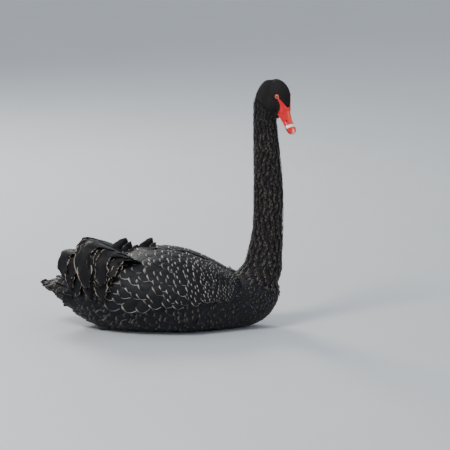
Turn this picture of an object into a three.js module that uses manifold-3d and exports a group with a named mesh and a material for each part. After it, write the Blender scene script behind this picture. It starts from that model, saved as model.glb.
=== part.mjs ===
// A life-size black swan resting on its belly, neck upright, head turned to its right.
// Millimetres. +X points to the breast, +Y to the bird's left, +Z up, and the origin is
// the middle of the flat of the belly on the floor.
import * as THREE from "three";
import { ParametricGeometry } from "three/addons/geometries/ParametricGeometry.js";
import { mergeVertices } from "three/addons/utils/BufferGeometryUtils.js";
import Module from "manifold-3d";

const wasm = await Module();
wasm.setup();

// Driving sizes
const TAIL_END = -316;
const BREAST_FRONT = 268;
const GAP = 0.35; // clearance between neighbouring pieces
const BEND = 2.3; // squareness of the body's cross-sections, 2 being an ellipse
const WING_DEPTH = 12; // how far the folded wing stands off the body
const WING_EDGE = 3; // and how far its edges do
const RIGHT = -1;
const LEFT = 1;

// Body outline, each as [place along X, size] pairs
const BACK_HEIGHT = [
  [-262, 78], [-235, 112], [-190, 144], [-120, 170], [-30, 186], [40, 179],
  [100, 157], [150, 134], [225, 128], [250, 124], [261, 114], [BREAST_FRONT, 92],
];
const BELLY_HEIGHT = [
  [-262, 66], [-240, 47], [-200, 17], [-160, 1], [-110, -7], [0, -10],
  [130, -7], [185, 1], [222, 15], [248, 38], [262, 64], [BREAST_FRONT, 84],
];
const HALF_WIDTH = [
  [-262, 12], [-235, 38], [-190, 70], [-140, 97], [-90, 116], [-20, 127], [45, 124],
  [103, 102], [150, 80], [190, 66], [228, 57], [250, 46], [262, 31], [BREAST_FRONT, 5],
];
const WIDEST_HEIGHT = [[-262, 72], [-190, 84], [-100, 86], [0, 84], [100, 80], [200, 82], [BREAST_FRONT, 87]];

// Neck: a centreline in the XZ plane, with half depth and half width at each of its points
const NECK_LINE = [
  { x: 130, z: 80, depth: 44, width: 74 },
  { x: 180, z: 92, depth: 47, width: 62 },
  { x: 222, z: 134, depth: 48.5, width: 50 },
  { x: 234.5, z: 196, depth: 42, width: 40 },
  { x: 240, z: 255, depth: 38, width: 36 },
  { x: 241, z: 320, depth: 37.5, width: 34.5 },
  { x: 239.5, z: 380, depth: 36, width: 32.5 },
  { x: 236, z: 445, depth: 33, width: 29.5 },
  { x: 232.5, z: 510, depth: 30.5, width: 25.5 },
  { x: 233, z: 560, depth: 30.5, width: 22.5 },
];
const NAPE = { centreX: 242, startZ: 560, topZ: 619 };

// Head, in its own frame: x forward along the bill from its tip, y to the left, z to the crown
const HEAD = {
  tip: new THREE.Vector3(300.5, -46, 489),
  pitch: THREE.MathUtils.degToRad(50),
  yaw: THREE.MathUtils.degToRad(50),
};
const CROWN = [[-146, 17], [-141, 31], [-128, 42], [-111, 47.5], [-95, 47], [-80, 41], [-68, 32.5], [-58, 25.5], [-50, 17]];
const JAW = [[-146, 13], [-141, -2], [-128, -15], [-111, -22], [-95, -21], [-78, -16], [-66, -12], [-58, -9], [-50, -5]];
const CHEEK = { x: -100, y: 14, z: -2, length: 32, width: 18.5, height: 21 };
const HEAD_HALF_WIDTH = [[-146, 3], [-141, 14], [-128, 22.5], [-111, 26.5], [-95, 25], [-78, 19], [-66, 15.5], [-58, 14], [-50, 10]];
const EYE = { x: -94, y: 18, z: 28, radius: 6 };

// The strips of bare red skin from the bill to the eyes, seen from the side
const LORE = [[-57, 1], [-66, 2], [-72, 11], [-88, 23.5], [-88, 29.5], [-77, 30], [-67, 28], [-57, 26]];
const LORE_OUTWARD = [[0, -1], [-0.5, -0.8], [-0.8, -0.6], [-1, -0.4], [-0.6, 0.8], [0.2, 1], [0, 1], [0, 1]];

const BILL_BASE = -60;
const CULMEN = [[BILL_BASE, 26.5], [-50, 20.5], [-40, 15.8], [-30, 12.2], [-20, 9.6], [-10, 8], [-3, 5.2], [0, 1.5]];
const UPPER_EDGE = [[BILL_BASE, 0], [-30, 0], [-8, -0.6], [0, -2.5]];
const LOWER_BILL_BASE = [[BILL_BASE, -7.2], [-40, -6.4], [-20, -5.4], [-6, -4.8], [-3, -4.2]];
const BILL_HALF_WIDTH = [[BILL_BASE, 14.4], [-45, 13], [-32, 12.6], [-18, 13.7], [-9, 12.4], [-3, 8.2], [0, 1.5]];

// A smooth curve through [place, size] pairs
function curveThrough(pairs) {
  const slopes = pairs.map(([place], i) => {
    const before = pairs[Math.max(i - 1, 0)];
    const after = pairs[Math.min(i + 1, pairs.length - 1)];
    return (after[1] - before[1]) / (after[0] - before[0]);
  });
  return (place) => {
    const last = pairs.length - 1;
    if (place <= pairs[0][0]) return pairs[0][1];
    if (place >= pairs[last][0]) return pairs[last][1];
    const i = pairs.findIndex((pair) => pair[0] > place) - 1;
    const [from, low] = pairs[i];
    const [to, high] = pairs[i + 1];
    const span = to - from;
    const t = (place - from) / span;
    const rise = t * t * (3 - 2 * t);
    const start = t * (1 - t) * (1 - t) * span * slopes[i];
    const end = t * t * (1 - t) * span * slopes[i + 1];
    return low + (high - low) * rise + start - end;
  };
}

// A closed solid from a geometry whose seams and poles meet, turned to face out
function solidFrom(geometry) {
  const bare = new THREE.BufferGeometry();
  bare.setAttribute("position", geometry.getAttribute("position").clone());
  if (geometry.index) bare.setIndex(geometry.index.clone());
  const merged = mergeVertices(bare, 1e-3);
  const source = merged.index.array;
  const kept = [];
  for (let i = 0; i < source.length; i += 3) {
    const [a, b, c] = [source[i], source[i + 1], source[i + 2]];
    if (a !== b && b !== c && c !== a) kept.push(a, b, c);
  }
  const build = (triangles) =>
    new wasm.Manifold(
      new wasm.Mesh({
        numProp: 3,
        vertProperties: new Float32Array(merged.getAttribute("position").array),
        triVerts: new Uint32Array(triangles),
      }),
    );
  const solid = build(kept);
  if (solid.volume() > 0) return solid;
  const turned = [];
  for (let i = 0; i < kept.length; i += 3) turned.push(kept[i], kept[i + 2], kept[i + 1]);
  return build(turned);
}

// A solid drawn by place(around, along, target), closed at both ends by a pole
function loft(place, around, along) {
  return solidFrom(new ParametricGeometry((u, v, target) => place(u % 1, v, target), around, along));
}

// Signed power, for cross-sections between an ellipse and a box
function squared(value, bend) {
  return Math.sign(value) * Math.abs(value) ** (2 / bend);
}

// Places from 0 to 1 that crowd towards both ends, so that a loft closes roundly
function crowded(v) {
  return (1 - Math.cos(Math.PI * v)) / 2;
}

const backAt = curveThrough(BACK_HEIGHT);
const bellyAt = curveThrough(BELLY_HEIGHT);
const halfWidthAt = curveThrough(HALF_WIDTH);
const widestAt = curveThrough(WIDEST_HEIGHT);

// A point of the body's surface at X, at an angle from the bird's left side up over its back,
// standing off by lift
function bodyPoint(x, angle, lift, target) {
  const up = Math.sin(angle);
  const height = up > 0 ? backAt(x) - widestAt(x) : widestAt(x) - bellyAt(x);
  const y = (halfWidthAt(x) + lift) * squared(Math.cos(angle), BEND);
  const z = widestAt(x) + (height + lift) * squared(up, BEND);
  return target.set(x, y, z);
}

function trunkSolid(lift) {
  const [first, last] = [BACK_HEIGHT[0][0] - lift, BREAST_FRONT + lift];
  return loft((u, v, target) => {
    const x = THREE.MathUtils.lerp(first, last, crowded(v));
    bodyPoint(x, 2 * Math.PI * u, lift, target);
    const end = v === 0 || v === 1;
    return end ? target.set(x, 0, widestAt(x)) : target;
  }, 22, 19);
}

function tailSolid(lift) {
  const root = -205;
  const top = curveThrough([[TAIL_END, 108.5], [-300, 114], [-275, 124], [-245, 134], [root, 140]]);
  const under = curveThrough([[TAIL_END, 107.5], [-300, 101], [-275, 82], [-258, 66], [-235, 52], [root, 45]]);
  const spread = curveThrough([[TAIL_END, 4], [-308, 20], [-285, 36], [-255, 45], [root, 50]]);
  return loft((u, v, target) => {
    const x = THREE.MathUtils.lerp(TAIL_END - lift, root, crowded(v));
    const angle = 2 * Math.PI * u;
    const middle = (top(x) + under(x)) / 2;
    if (v === 0 || v === 1) return target.set(x, 0, middle);
    const half = (top(x) - under(x)) / 2 + lift;
    return target.set(x, (spread(x) + lift) * Math.cos(angle), middle + half * squared(Math.sin(angle), BEND));
  }, 14, 8);
}

function neckSolid(lift) {
  const line = new THREE.CatmullRomCurve3(NECK_LINE.map((p) => new THREE.Vector3(p.x, 0, p.z)), false, "centripetal");
  const heights = NECK_LINE.map((p, i) => [i, p]);
  const depthAt = curveThrough(heights.map(([i, p]) => [i, p.depth]));
  const widthAt = curveThrough(heights.map(([i, p]) => [i, p.width]));
  const last = NECK_LINE.length - 1;
  const tubeShare = 0.84;
  const centre = new THREE.Vector3();
  return loft((u, v, target) => {
    const angle = 2 * Math.PI * u;
    if (v > tubeShare) {
      const turn = ((v - tubeShare) / (1 - tubeShare)) * (Math.PI / 2);
      const x = THREE.MathUtils.lerp(NECK_LINE[last].x, NAPE.centreX, Math.sin(turn));
      const z = NAPE.startZ + (NAPE.topZ - NAPE.startZ + lift) * Math.sin(turn);
      const shrink = v === 1 ? 0 : Math.cos(turn);
      return target.set(
        x + (depthAt(last) + lift) * shrink * Math.cos(angle),
        (widthAt(last) + lift) * shrink * Math.sin(angle),
        z,
      );
    }
    const t = v / tubeShare;
    line.getPoint(t, centre);
    if (v === 0) return target.copy(centre);
    const along = line.getTangent(t);
    const depth = (depthAt(t * last) + lift) * Math.cos(angle);
    const width = (widthAt(t * last) + lift) * Math.sin(angle);
    return target.set(centre.x + along.z * depth, width, centre.z - along.x * depth);
  }, 16, 24);
}

// The head's own frame, standing in the bird's
const headFrame = new THREE.Matrix4().makeBasis(
  new THREE.Vector3(
    Math.cos(HEAD.pitch) * Math.cos(HEAD.yaw),
    -Math.cos(HEAD.pitch) * Math.sin(HEAD.yaw),
    -Math.sin(HEAD.pitch),
  ),
  new THREE.Vector3(Math.sin(HEAD.yaw), Math.cos(HEAD.yaw), 0),
  new THREE.Vector3(
    Math.sin(HEAD.pitch) * Math.cos(HEAD.yaw),
    -Math.sin(HEAD.pitch) * Math.sin(HEAD.yaw),
    Math.cos(HEAD.pitch),
  ),
).setPosition(HEAD.tip);

function headSolid(lift) {
  const top = curveThrough(CROWN);
  const under = curveThrough(JAW);
  const side = curveThrough(HEAD_HALF_WIDTH);
  const [rear, front] = [CROWN[0][0] - lift, CROWN[CROWN.length - 1][0] + lift];
  const middle = (x) => (top(x) + under(x)) / 2;
  return loft((u, v, target) => {
    const x = THREE.MathUtils.lerp(rear, front, crowded(v));
    const angle = 2 * Math.PI * u;
    target.set(x, 0, middle(x));
    if (v > 0 && v < 1) {
      target.y = (side(x) + lift) * squared(Math.cos(angle), 2.1);
      target.z += ((top(x) - under(x)) / 2 + lift) * squared(Math.sin(angle), 2.1);
    }
    return target.applyMatrix4(headFrame);
  }, 18, 13);
}

// The full cheeks, which overhang the throat
function cheeks(lift) {
  const [left, right] = [LEFT, RIGHT].map((hand) => solidFrom(
    new THREE.SphereGeometry(1, 12, 7)
      .scale(CHEEK.length + lift, CHEEK.width + lift, CHEEK.height + lift)
      .translate(CHEEK.x, hand * CHEEK.y, CHEEK.z)
      .applyMatrix4(headFrame),
  ));
  return left.add(right);
}

// The strips of bare red skin that run from the bill to the eyes, as a slab across the face
function loreSlab(lift) {
  const strip = new THREE.Shape(LORE.map(([x, z], i) => {
    const [sideX, sideZ] = LORE_OUTWARD[i];
    return new THREE.Vector2(x + lift * sideX, z + lift * sideZ);
  }));
  const slab = new THREE.ExtrudeGeometry(strip, { depth: 60, bevelEnabled: false });
  return solidFrom(slab.translate(0, 0, -30).rotateX(Math.PI / 2).applyMatrix4(headFrame));
}

// Half of the bill between a top and an under line, ridged above and flat below
function billSolid({ top, under, from, to, narrower = 0, ridge }, lift) {
  const side = curveThrough(BILL_HALF_WIDTH);
  return loft((u, v, target) => {
    const x = THREE.MathUtils.lerp(from - lift, to, crowded(v));
    const angle = 2 * Math.PI * u;
    const up = Math.sin(angle);
    const middle = Math.min(under(x) + 1.5, (top(x) + under(x)) / 2);
    target.set(x, 0, middle);
    if (v > 0 && v < 1) {
      target.y = (side(x) - narrower + lift) * squared(Math.cos(angle), up > 0 ? ridge : 2.6);
      target.z += ((up > 0 ? top(x) - middle : middle - under(x)) + lift) * squared(up, 2);
    }
    return target.applyMatrix4(headFrame);
  }, 12, 10);
}

function ball(centre, radius) {
  return solidFrom(new THREE.SphereGeometry(radius, 12, 8).translate(centre.x, centre.y, centre.z));
}

function box(sizes, centre, turnY = 0) {
  return solidFrom(new THREE.BoxGeometry(...sizes).rotateY(turnY).translate(...centre));
}

// A flat feather along a bent shaft, rounded at its tip
function blade({ shaft, width, across, thick = 4, taper = 0 }) {
  const line = new THREE.CubicBezierCurve3(...shaft);
  return loft((u, v, target) => {
    line.getPoint(v, target);
    if (v === 0 || v === 1) return target;
    const angle = 2 * Math.PI * u;
    const along = line.getTangent(v);
    const side = across.clone().addScaledVector(along, -across.dot(along)).normalize();
    const face = side.clone().cross(along);
    const half = (width / 2) * (1 - taper * v) * (1 - Math.abs(2 * v - 1) ** 3) ** 0.5;
    return target.addScaledVector(side, half * Math.cos(angle))
      .addScaledVector(face, (thick / 2) * Math.sin(angle));
  }, 8, 8);
}

// Long feathers lying side by side, from the first shaft to the last, waved as they hang
function curtain({ first, last, feathers, thick = 5, wave = 5 }) {
  const [from, to] = [new THREE.CubicBezierCurve3(...first), new THREE.CubicBezierCurve3(...last)];
  const spot = (across, t) => from.getPoint(t).lerp(to.getPoint(t), across);
  const step = 0.01;
  return loft((u, v, target) => {
    const t = crowded(v);
    if (v === 0 || v === 1) return target.copy(spot(0.5, 0.02 + 0.95 * t));
    const angle = 2 * Math.PI * u;
    const across = (1 - Math.cos(angle)) / 2;
    const fringe = Math.abs(Math.sin(feathers * Math.PI * across));
    const reach = t * (0.9 + 0.1 * fringe);
    const slant = spot(across + step, reach).sub(spot(across - step, reach));
    const face = slant.cross(spot(across, reach + step).sub(spot(across, reach - step))).normalize();
    const stand = (thick / 2) * squared(Math.sin(angle), 4) + wave * t * (fringe - 0.5);
    return target.copy(spot(across, reach)).addScaledVector(face, stand);
  }, 6 * feathers, 8);
}

// The folded wing over one side of the body, from the shoulder to the rump
function wingShell(hand) {
  const [rear, front] = [-205, 168];
  const [lowest, highest] = [0.16, 1.4]; // angles up from the body's widest line
  return loft((u, v, target) => {
    const x = THREE.MathUtils.lerp(rear, front, crowded(v));
    const turn = 2 * Math.PI * u;
    const reach = Math.sin(Math.PI * crowded(v)) ** 0.4;
    const middle = (lowest + highest) / 2;
    const rise = middle + ((highest - lowest) / 2) * reach * Math.cos(turn);
    const depth = Math.sin(turn);
    const stand = depth > 0
      ? WING_EDGE + (WING_DEPTH - WING_EDGE) * depth * reach
      : WING_EDGE - (WING_EDGE + 6) * Math.abs(depth) ** 0.4;
    if (v === 0 || v === 1) return bodyPoint(x, hand > 0 ? middle : Math.PI - middle, 0, target);
    return bodyPoint(x, hand > 0 ? rise : Math.PI - rise, stand, target);
  }, 18, 13);
}

const at = (x, y, z) => new THREE.Vector3(x, y, z);
const shaftOf = (hand, points, drop = 0) => points.map(([x, y, z], i) => (
  at(x, hand * y, z - (i % 3 ? drop : 0))
));

// The innermost flight feathers arch up behind the back and hang down over the wing
const CURTAIN = {
  first: [[-50, 72, 150], [-96, 66, 200], [-128, 92, 196], [-134, 108, 102]],
  last: [[-96, 24, 172], [-184, 28, 238], [-262, 54, 280], [-214, 88, 84]],
  feathers: 4,
};
// The longest reach over the root of the tail
const REAR_LOBE = {
  first: [[-150, 40, 150], [-190, 44, 200], [-226, 54, 206], [-222, 66, 96]],
  last: [[-160, 5, 150], [-214, 6, 208], [-300, 8, 226], [-266, 20, 112]],
  feathers: 3,
};
const LEFT_DROP = 20; // the left wing's lie a little lower
// Curled feathers that stand up along the left wing's ridge
const CRESTS = [
  { shaft: [[-130, 34, 160], [-116, 38, 185], [-108, 40, 200], [-99, 44, 212]], width: 46 },
  { shaft: [[-104, 30, 160], [-90, 32, 180], [-86, 34, 190], [-80, 38, 202]], width: 34 },
  { shaft: [[-76, 34, 160], [-62, 38, 182], [-50, 38, 194], [-38, 42, 212]], width: 40 },
];
const PRIMARIES = { shaft: [[-150, 44, 168], [-190, 36, 166], [-224, 26, 158], [-262, 13, 126]], width: 24 };

function wingRuffles(hand) {
  const drop = hand === LEFT ? LEFT_DROP : 0;
  const crests = hand === LEFT ? CRESTS : [];
  return [
    ...[CURTAIN, REAR_LOBE].map(({ first, last, feathers }) => curtain({
      feathers, first: shaftOf(hand, first, drop), last: shaftOf(hand, last, drop), wave: -hand * 5,
    })),
    ...crests.map(({ shaft, width }) => blade({
      shaft: shaftOf(hand, shaft), width, across: at(1, 0.25 * hand, 0), taper: 0.45,
    })),
  ];
}

// White flight feathers, folded under the ruffles, their tips over the tail's root
function primariesSolid(hand) {
  return blade({ ...PRIMARIES, shaft: shaftOf(hand, PRIMARIES.shaft), across: at(0, 1, 0), thick: 5 });
}

// A leg tucked under the belly: shank along the floor and a webbed foot pointing forward
function legSolid(hand, lift) {
  const y = hand * 43;
  const [heelX, footX, toeX] = [-168, -88, 2];
  const web = new THREE.Shape();
  web.moveTo(footX - 8 - lift, -5 - lift);
  web.lineTo(toeX - 16, -29 - lift);
  web.lineTo(toeX - 10 + lift, -14);
  web.lineTo(toeX + lift, 0);
  web.lineTo(toeX - 8 + lift, 14);
  web.lineTo(toeX - 22, 27 + lift);
  web.lineTo(footX - 8 - lift, 5 + lift);
  const foot = new THREE.ExtrudeGeometry(web, { depth: 6 + 2 * lift, bevelEnabled: false });
  const shankRadius = 6.5 + lift;
  const length = footX - heelX;
  const shank = new THREE.CylinderGeometry(shankRadius, shankRadius, length, 7);
  shank.rotateZ(Math.PI / 2).translate((heelX + footX) / 2, y, 7);
  const joint = (x) => solidFrom(new THREE.SphereGeometry(8.5 + lift, 7, 5).translate(x, y, 7));
  return join([solidFrom(foot.translate(0, y, -lift)), solidFrom(shank), joint(heelX), joint(footX)]);
}

// Cutters
const FAR = 900;
const aboveFloor = box([FAR, FAR, FAR], [0, 0, FAR / 2]);
const sideOf = (hand) => box([FAR, FAR, FAR], [0, hand * (FAR / 2 + GAP), 0]);
const beforeX = (x) => box([FAR, FAR, FAR], [x + FAR / 2, 0, 0]);
const behindX = (x) => box([FAR, FAR, FAR], [x - FAR / 2, 0, 0]);
const above = (z) => box([FAR, FAR, FAR], [0, 0, z + FAR / 2]);
const below = (z) => box([FAR, FAR, FAR], [0, 0, z - FAR / 2]);

// The space above the slanting line where the neck leaves the body
function neckSpace(lift) {
  const slant = THREE.MathUtils.degToRad(20);
  const [length, height] = [190, 130];
  const middle = at(204, 0, 124.5);
  const up = at(Math.sin(slant), 0, Math.cos(slant)).multiplyScalar(height / 2 + lift);
  const low = box([length, FAR, height], middle.add(up).toArray(), slant);
  return low.add(box([FAR, FAR, FAR], [140 + FAR / 2, 0, 190 + FAR / 2]));
}

const outline = (lift) => trunkSolid(lift).add(tailSolid(lift)).add(neckSolid(lift));
const largest = (solid) => solid.decompose().sort((a, b) => b.volume() - a.volume())[0];
const both = (make) => [LEFT, RIGHT].map(make);
const join = (solids) => solids.reduce((whole, next) => whole.add(next));

const whole = outline(0).intersect(aboveFloor);
const cleared = outline(GAP);
const head = headSolid(0).add(cheeks(0));
const clearedHead = headSolid(GAP).add(cheeks(GAP));

const eyeCentre = (hand) => at(EYE.x, hand * EYE.y, EYE.z).applyMatrix4(headFrame);
const eyes = both((hand) => ball(eyeCentre(hand), EYE.radius));
const eyeSockets = join(both((hand) => ball(eyeCentre(hand), EYE.radius + GAP)));

const tomium = curveThrough(UPPER_EDGE);
const loreRoom = loreSlab(GAP).subtract(headSolid(-3 - GAP));
const bareFace = headSolid(0.6).subtract(headSolid(-3)).intersect(loreSlab(0));
const UPPER_BILL = { top: curveThrough(CULMEN), under: tomium, from: BILL_BASE - 8, to: 0, ridge: 1.7 };
const LOWER_BILL = {
  top: (x) => tomium(x) - GAP, under: curveThrough(LOWER_BILL_BASE), from: BILL_BASE - 6, to: -3, narrower: 1.4, ridge: 2.6,
};
const upperBill = billSolid(UPPER_BILL, 0).add(bareFace);
const lowerBill = billSolid(LOWER_BILL, 0);
const billRoom = billSolid(UPPER_BILL, GAP).add(billSolid(LOWER_BILL, GAP)).add(loreRoom);

const tailCut = -244;
const neckCuts = [205, 385];
const headCut = 552;

const legs = both((hand) => legSolid(hand, 0).intersect(aboveFloor));
const legRoom = join(both((hand) => legSolid(hand, GAP)));

const neckRegion = whole.intersect(neckSpace(GAP / 2));
const trunk = whole.subtract(neckSpace(-GAP / 2)).intersect(beforeX(tailCut + GAP)).subtract(legRoom);
const tail = whole.intersect(behindX(tailCut));
const neckTop = neckRegion.intersect(above(headCut));
const wholeHead = head.add(neckTop);

function wingSolid(hand) {
  const shell = wingShell(hand);
  const ruffled = join([shell, ...wingRuffles(hand)]);
  return largest(ruffled.subtract(cleared).intersect(sideOf(hand)));
}

const wings = both(wingSolid);
const primaries = both((hand) => largest(
  primariesSolid(hand).subtract(cleared).subtract(join(both(wingSolid))).intersect(sideOf(hand)),
));

const feathered = new THREE.MeshStandardMaterial({ color: 0x17161a, roughness: 0.55, metalness: 0 });
const whiteFeather = new THREE.MeshStandardMaterial({ color: 0xe9e6df, roughness: 0.6, metalness: 0 });
const redHorn = new THREE.MeshStandardMaterial({ color: 0xd8221c, roughness: 0.3, metalness: 0 });
const redEye = new THREE.MeshStandardMaterial({ color: 0xc23a20, roughness: 0.1, metalness: 0 });
const blackScale = new THREE.MeshStandardMaterial({ color: 0x26242a, roughness: 0.6, metalness: 0 });

function meshFrom(name, solid, material) {
  const { numProp, numVert, vertProperties, triVerts } = solid.getMesh();
  const places = new Float32Array(numVert * 3);
  for (let i = 0; i < numVert; i += 1) places.set(vertProperties.subarray(i * numProp, i * numProp + 3), i * 3);
  const geometry = new THREE.BufferGeometry();
  geometry.setAttribute("position", new THREE.BufferAttribute(places, 3));
  geometry.setIndex(new THREE.BufferAttribute(new Uint32Array(triVerts), 1));
  const mesh = new THREE.Mesh(geometry, material);
  mesh.name = name;
  return mesh;
}

const swan = new THREE.Group();
swan.add(
  meshFrom("trunk", largest(trunk), feathered),
  meshFrom("tail", largest(tail), feathered),
  meshFrom("neck_lower", largest(neckRegion.intersect(below(neckCuts[0]))), feathered),
  meshFrom("neck_middle", neckRegion.intersect(above(neckCuts[0] + GAP)).intersect(below(neckCuts[1])), feathered),
  meshFrom("neck_upper", largest(
    neckRegion.intersect(above(neckCuts[1] + GAP)).intersect(below(headCut - GAP)).subtract(clearedHead),
  ), feathered),
  meshFrom("head", largest(
    wholeHead.subtract(eyeSockets).subtract(billRoom),
  ), feathered),
  meshFrom("bill_upper", largest(upperBill.subtract(eyeSockets)), redHorn),
  meshFrom("bill_lower", lowerBill, redHorn),
);
["left", "right"].forEach((side, i) => {
  swan.add(
    meshFrom(`eye_${side}`, eyes[i], redEye),
    meshFrom(`wing_${side}`, wings[i], feathered),
    meshFrom(`primaries_${side}`, primaries[i], whiteFeather),
    meshFrom(`leg_${side}`, legs[i], blackScale),
  );
});

export default swan;
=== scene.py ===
"""A life-size black swan resting on its belly, with its neck upright and its head turned.

The frame is the CAD model's: metres, +X to the breast, +Y to the bird's left, +Z up. The sizes
below are in millimetres, as in the CAD source, and become metres where meshes are made.
"""

import logging
import math
from collections.abc import Callable
from dataclasses import dataclass
from enum import Enum

import bmesh
import bpy
import numpy as np
from mathutils import Matrix, Vector


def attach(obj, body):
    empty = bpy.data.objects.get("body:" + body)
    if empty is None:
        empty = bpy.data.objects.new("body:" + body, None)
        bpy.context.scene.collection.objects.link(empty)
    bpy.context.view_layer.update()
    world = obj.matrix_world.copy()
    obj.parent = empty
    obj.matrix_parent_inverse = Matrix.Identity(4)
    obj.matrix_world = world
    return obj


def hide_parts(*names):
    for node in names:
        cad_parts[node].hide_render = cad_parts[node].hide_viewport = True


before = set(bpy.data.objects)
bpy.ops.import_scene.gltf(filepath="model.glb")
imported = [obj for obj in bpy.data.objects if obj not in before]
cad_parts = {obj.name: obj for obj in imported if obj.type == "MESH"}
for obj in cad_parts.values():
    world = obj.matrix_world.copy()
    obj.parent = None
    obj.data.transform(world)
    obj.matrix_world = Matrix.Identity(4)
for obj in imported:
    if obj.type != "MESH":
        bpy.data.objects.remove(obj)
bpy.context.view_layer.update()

log = logging.getLogger("swan")
MM = 0.001
BODY = "root"
Array = np.ndarray
Faces = list[tuple[int, ...]]
Form = tuple[Array, Faces]
Place = tuple[float, float, float]
Socket = bpy.types.NodeSocket


class Side(Enum):
    """Which wing, eye or leg a piece belongs to; the value is the sign of its Y."""

    LEFT = 1
    RIGHT = -1


class Slot(Enum):
    """Names for material slots, which nothing in this script uses."""

    TRUNK = "trunk_plumage"
    TAIL = "tail_plumage"
    NECK = "neck_plumage"
    HEAD = "head_plumage"
    WING = "wing_plumage"
    WHITE = "white_quills"
    BILL = "bill_horn"
    EYE = "eye"
    LEG = "leg_scales"


# Small mathematics


class Profile:
    """A smooth curve through (place, size) pairs."""

    def __init__(self, pairs: list[tuple[float, float]]) -> None:
        """Keep the pairs and the slope at each.

        Args:
            pairs: places, in rising order, with their sizes.
        """
        self.places, self.sizes = np.array(pairs, float).T
        index = np.arange(len(pairs))
        before, after = np.maximum(index - 1, 0), np.minimum(index + 1, len(pairs) - 1)
        self.slopes = (self.sizes[after] - self.sizes[before]) / (self.places[after] - self.places[before])

    def __call__(self, place: Array | float) -> Array:
        """The size at each place.

        Args:
            place: where along the curve, as one number or many.

        Returns:
            The sizes there, held at the ends.
        """
        x = np.clip(np.asarray(place, float), self.places[0], self.places[-1])
        i = np.clip(np.searchsorted(self.places, x, side="right") - 1, 0, len(self.places) - 2)
        span = self.places[i + 1] - self.places[i]
        t = (x - self.places[i]) / span
        low, high = self.sizes[i], self.sizes[i + 1]
        rise = t * t * (3 - 2 * t)
        start = t * (1 - t) ** 2 * span * self.slopes[i]
        end = t * t * (1 - t) * span * self.slopes[i + 1]
        return low + (high - low) * rise + start - end


def squared(value: Array, bend: float) -> Array:
    """Signed power, for cross-sections between an ellipse and a box."""
    return np.sign(value) * np.abs(value) ** (2 / bend)


def unit(vectors: Array) -> Array:
    """Each vector at length one."""
    return vectors / np.maximum(np.linalg.norm(vectors, axis=-1, keepdims=True), 1e-12)


def smoothstep(low: float, high: float, value: Array) -> Array:
    """0 below low, 1 above high and smooth between them."""
    t = np.clip((value - low) / (high - low), 0, 1)
    return t * t * (3 - 2 * t)


def bezier(points: Array, t: Array) -> Array:
    """Points of a cubic curve.

    Args:
        points: its four control points, shaped (..., 4, 3).
        t: places along it from 0 to 1, shaped (...,).

    Returns:
        The places, shaped (..., 3).
    """
    t = np.asarray(t)[..., None]
    a, b, c, d = (points[..., i, :] for i in range(4))
    return a * (1 - t) ** 3 + 3 * b * t * (1 - t) ** 2 + 3 * c * t * t * (1 - t) + d * t**3


def crowded(count: int) -> Array:
    """Places between 0 and 1, ends left out, that crowd towards both ends."""
    return (1 - np.cos(math.pi * np.arange(1, count) / count)) / 2


def full_turn(count: int) -> Array:
    """Angles evenly round a circle."""
    return np.linspace(0, 2 * math.pi, count, endpoint=False)


def turned(up: Array, across: Array) -> Array:
    """How far round an axis places lie, as a share of a turn."""
    return np.arctan2(up, across) / (2 * math.pi) % 1


# The body's form


@dataclass
class Trunk:
    """The body without neck and wings, lofted along X."""

    tail_end: float = -262
    breast: float = 268
    bend: float = 2.3
    back: Profile = Profile([
        (-262, 78), (-235, 112), (-190, 144), (-120, 170), (-30, 186), (40, 179),
        (100, 157), (150, 134), (225, 128), (250, 124), (261, 114), (268, 92)])
    belly: Profile = Profile([
        (-262, 66), (-240, 47), (-200, 17), (-160, 1), (-110, -7), (0, -10),
        (130, -7), (185, 1), (222, 15), (248, 38), (262, 64), (268, 84)])
    half_width: Profile = Profile([
        (-262, 12), (-235, 38), (-190, 70), (-140, 97), (-90, 116), (-20, 127), (45, 124),
        (103, 102), (150, 80), (190, 66), (228, 57), (250, 46), (262, 31), (268, 5)])
    widest: Profile = Profile([
        (-262, 72), (-190, 84), (-100, 86), (0, 84), (100, 80), (200, 82), (268, 87)])

    def point(self, x: Array, angle: Array, lift: Array | float) -> Array:
        """Points of the surface.

        Args:
            x: places along the body.
            angle: angles from the bird's left side up over its back.
            lift: how far they stand off the surface.

        Returns:
            The points, shaped (..., 3).
        """
        x, angle = np.broadcast_arrays(np.asarray(x, float), np.asarray(angle, float))
        up = np.sin(angle)
        middle = self.widest(x)
        height = np.where(up > 0, self.back(x) - middle, middle - self.belly(x))
        y = (self.half_width(x) + lift) * squared(np.cos(angle), self.bend)
        z = middle + (height + lift) * squared(up, self.bend)
        return np.stack([x, y, z], -1)


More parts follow.
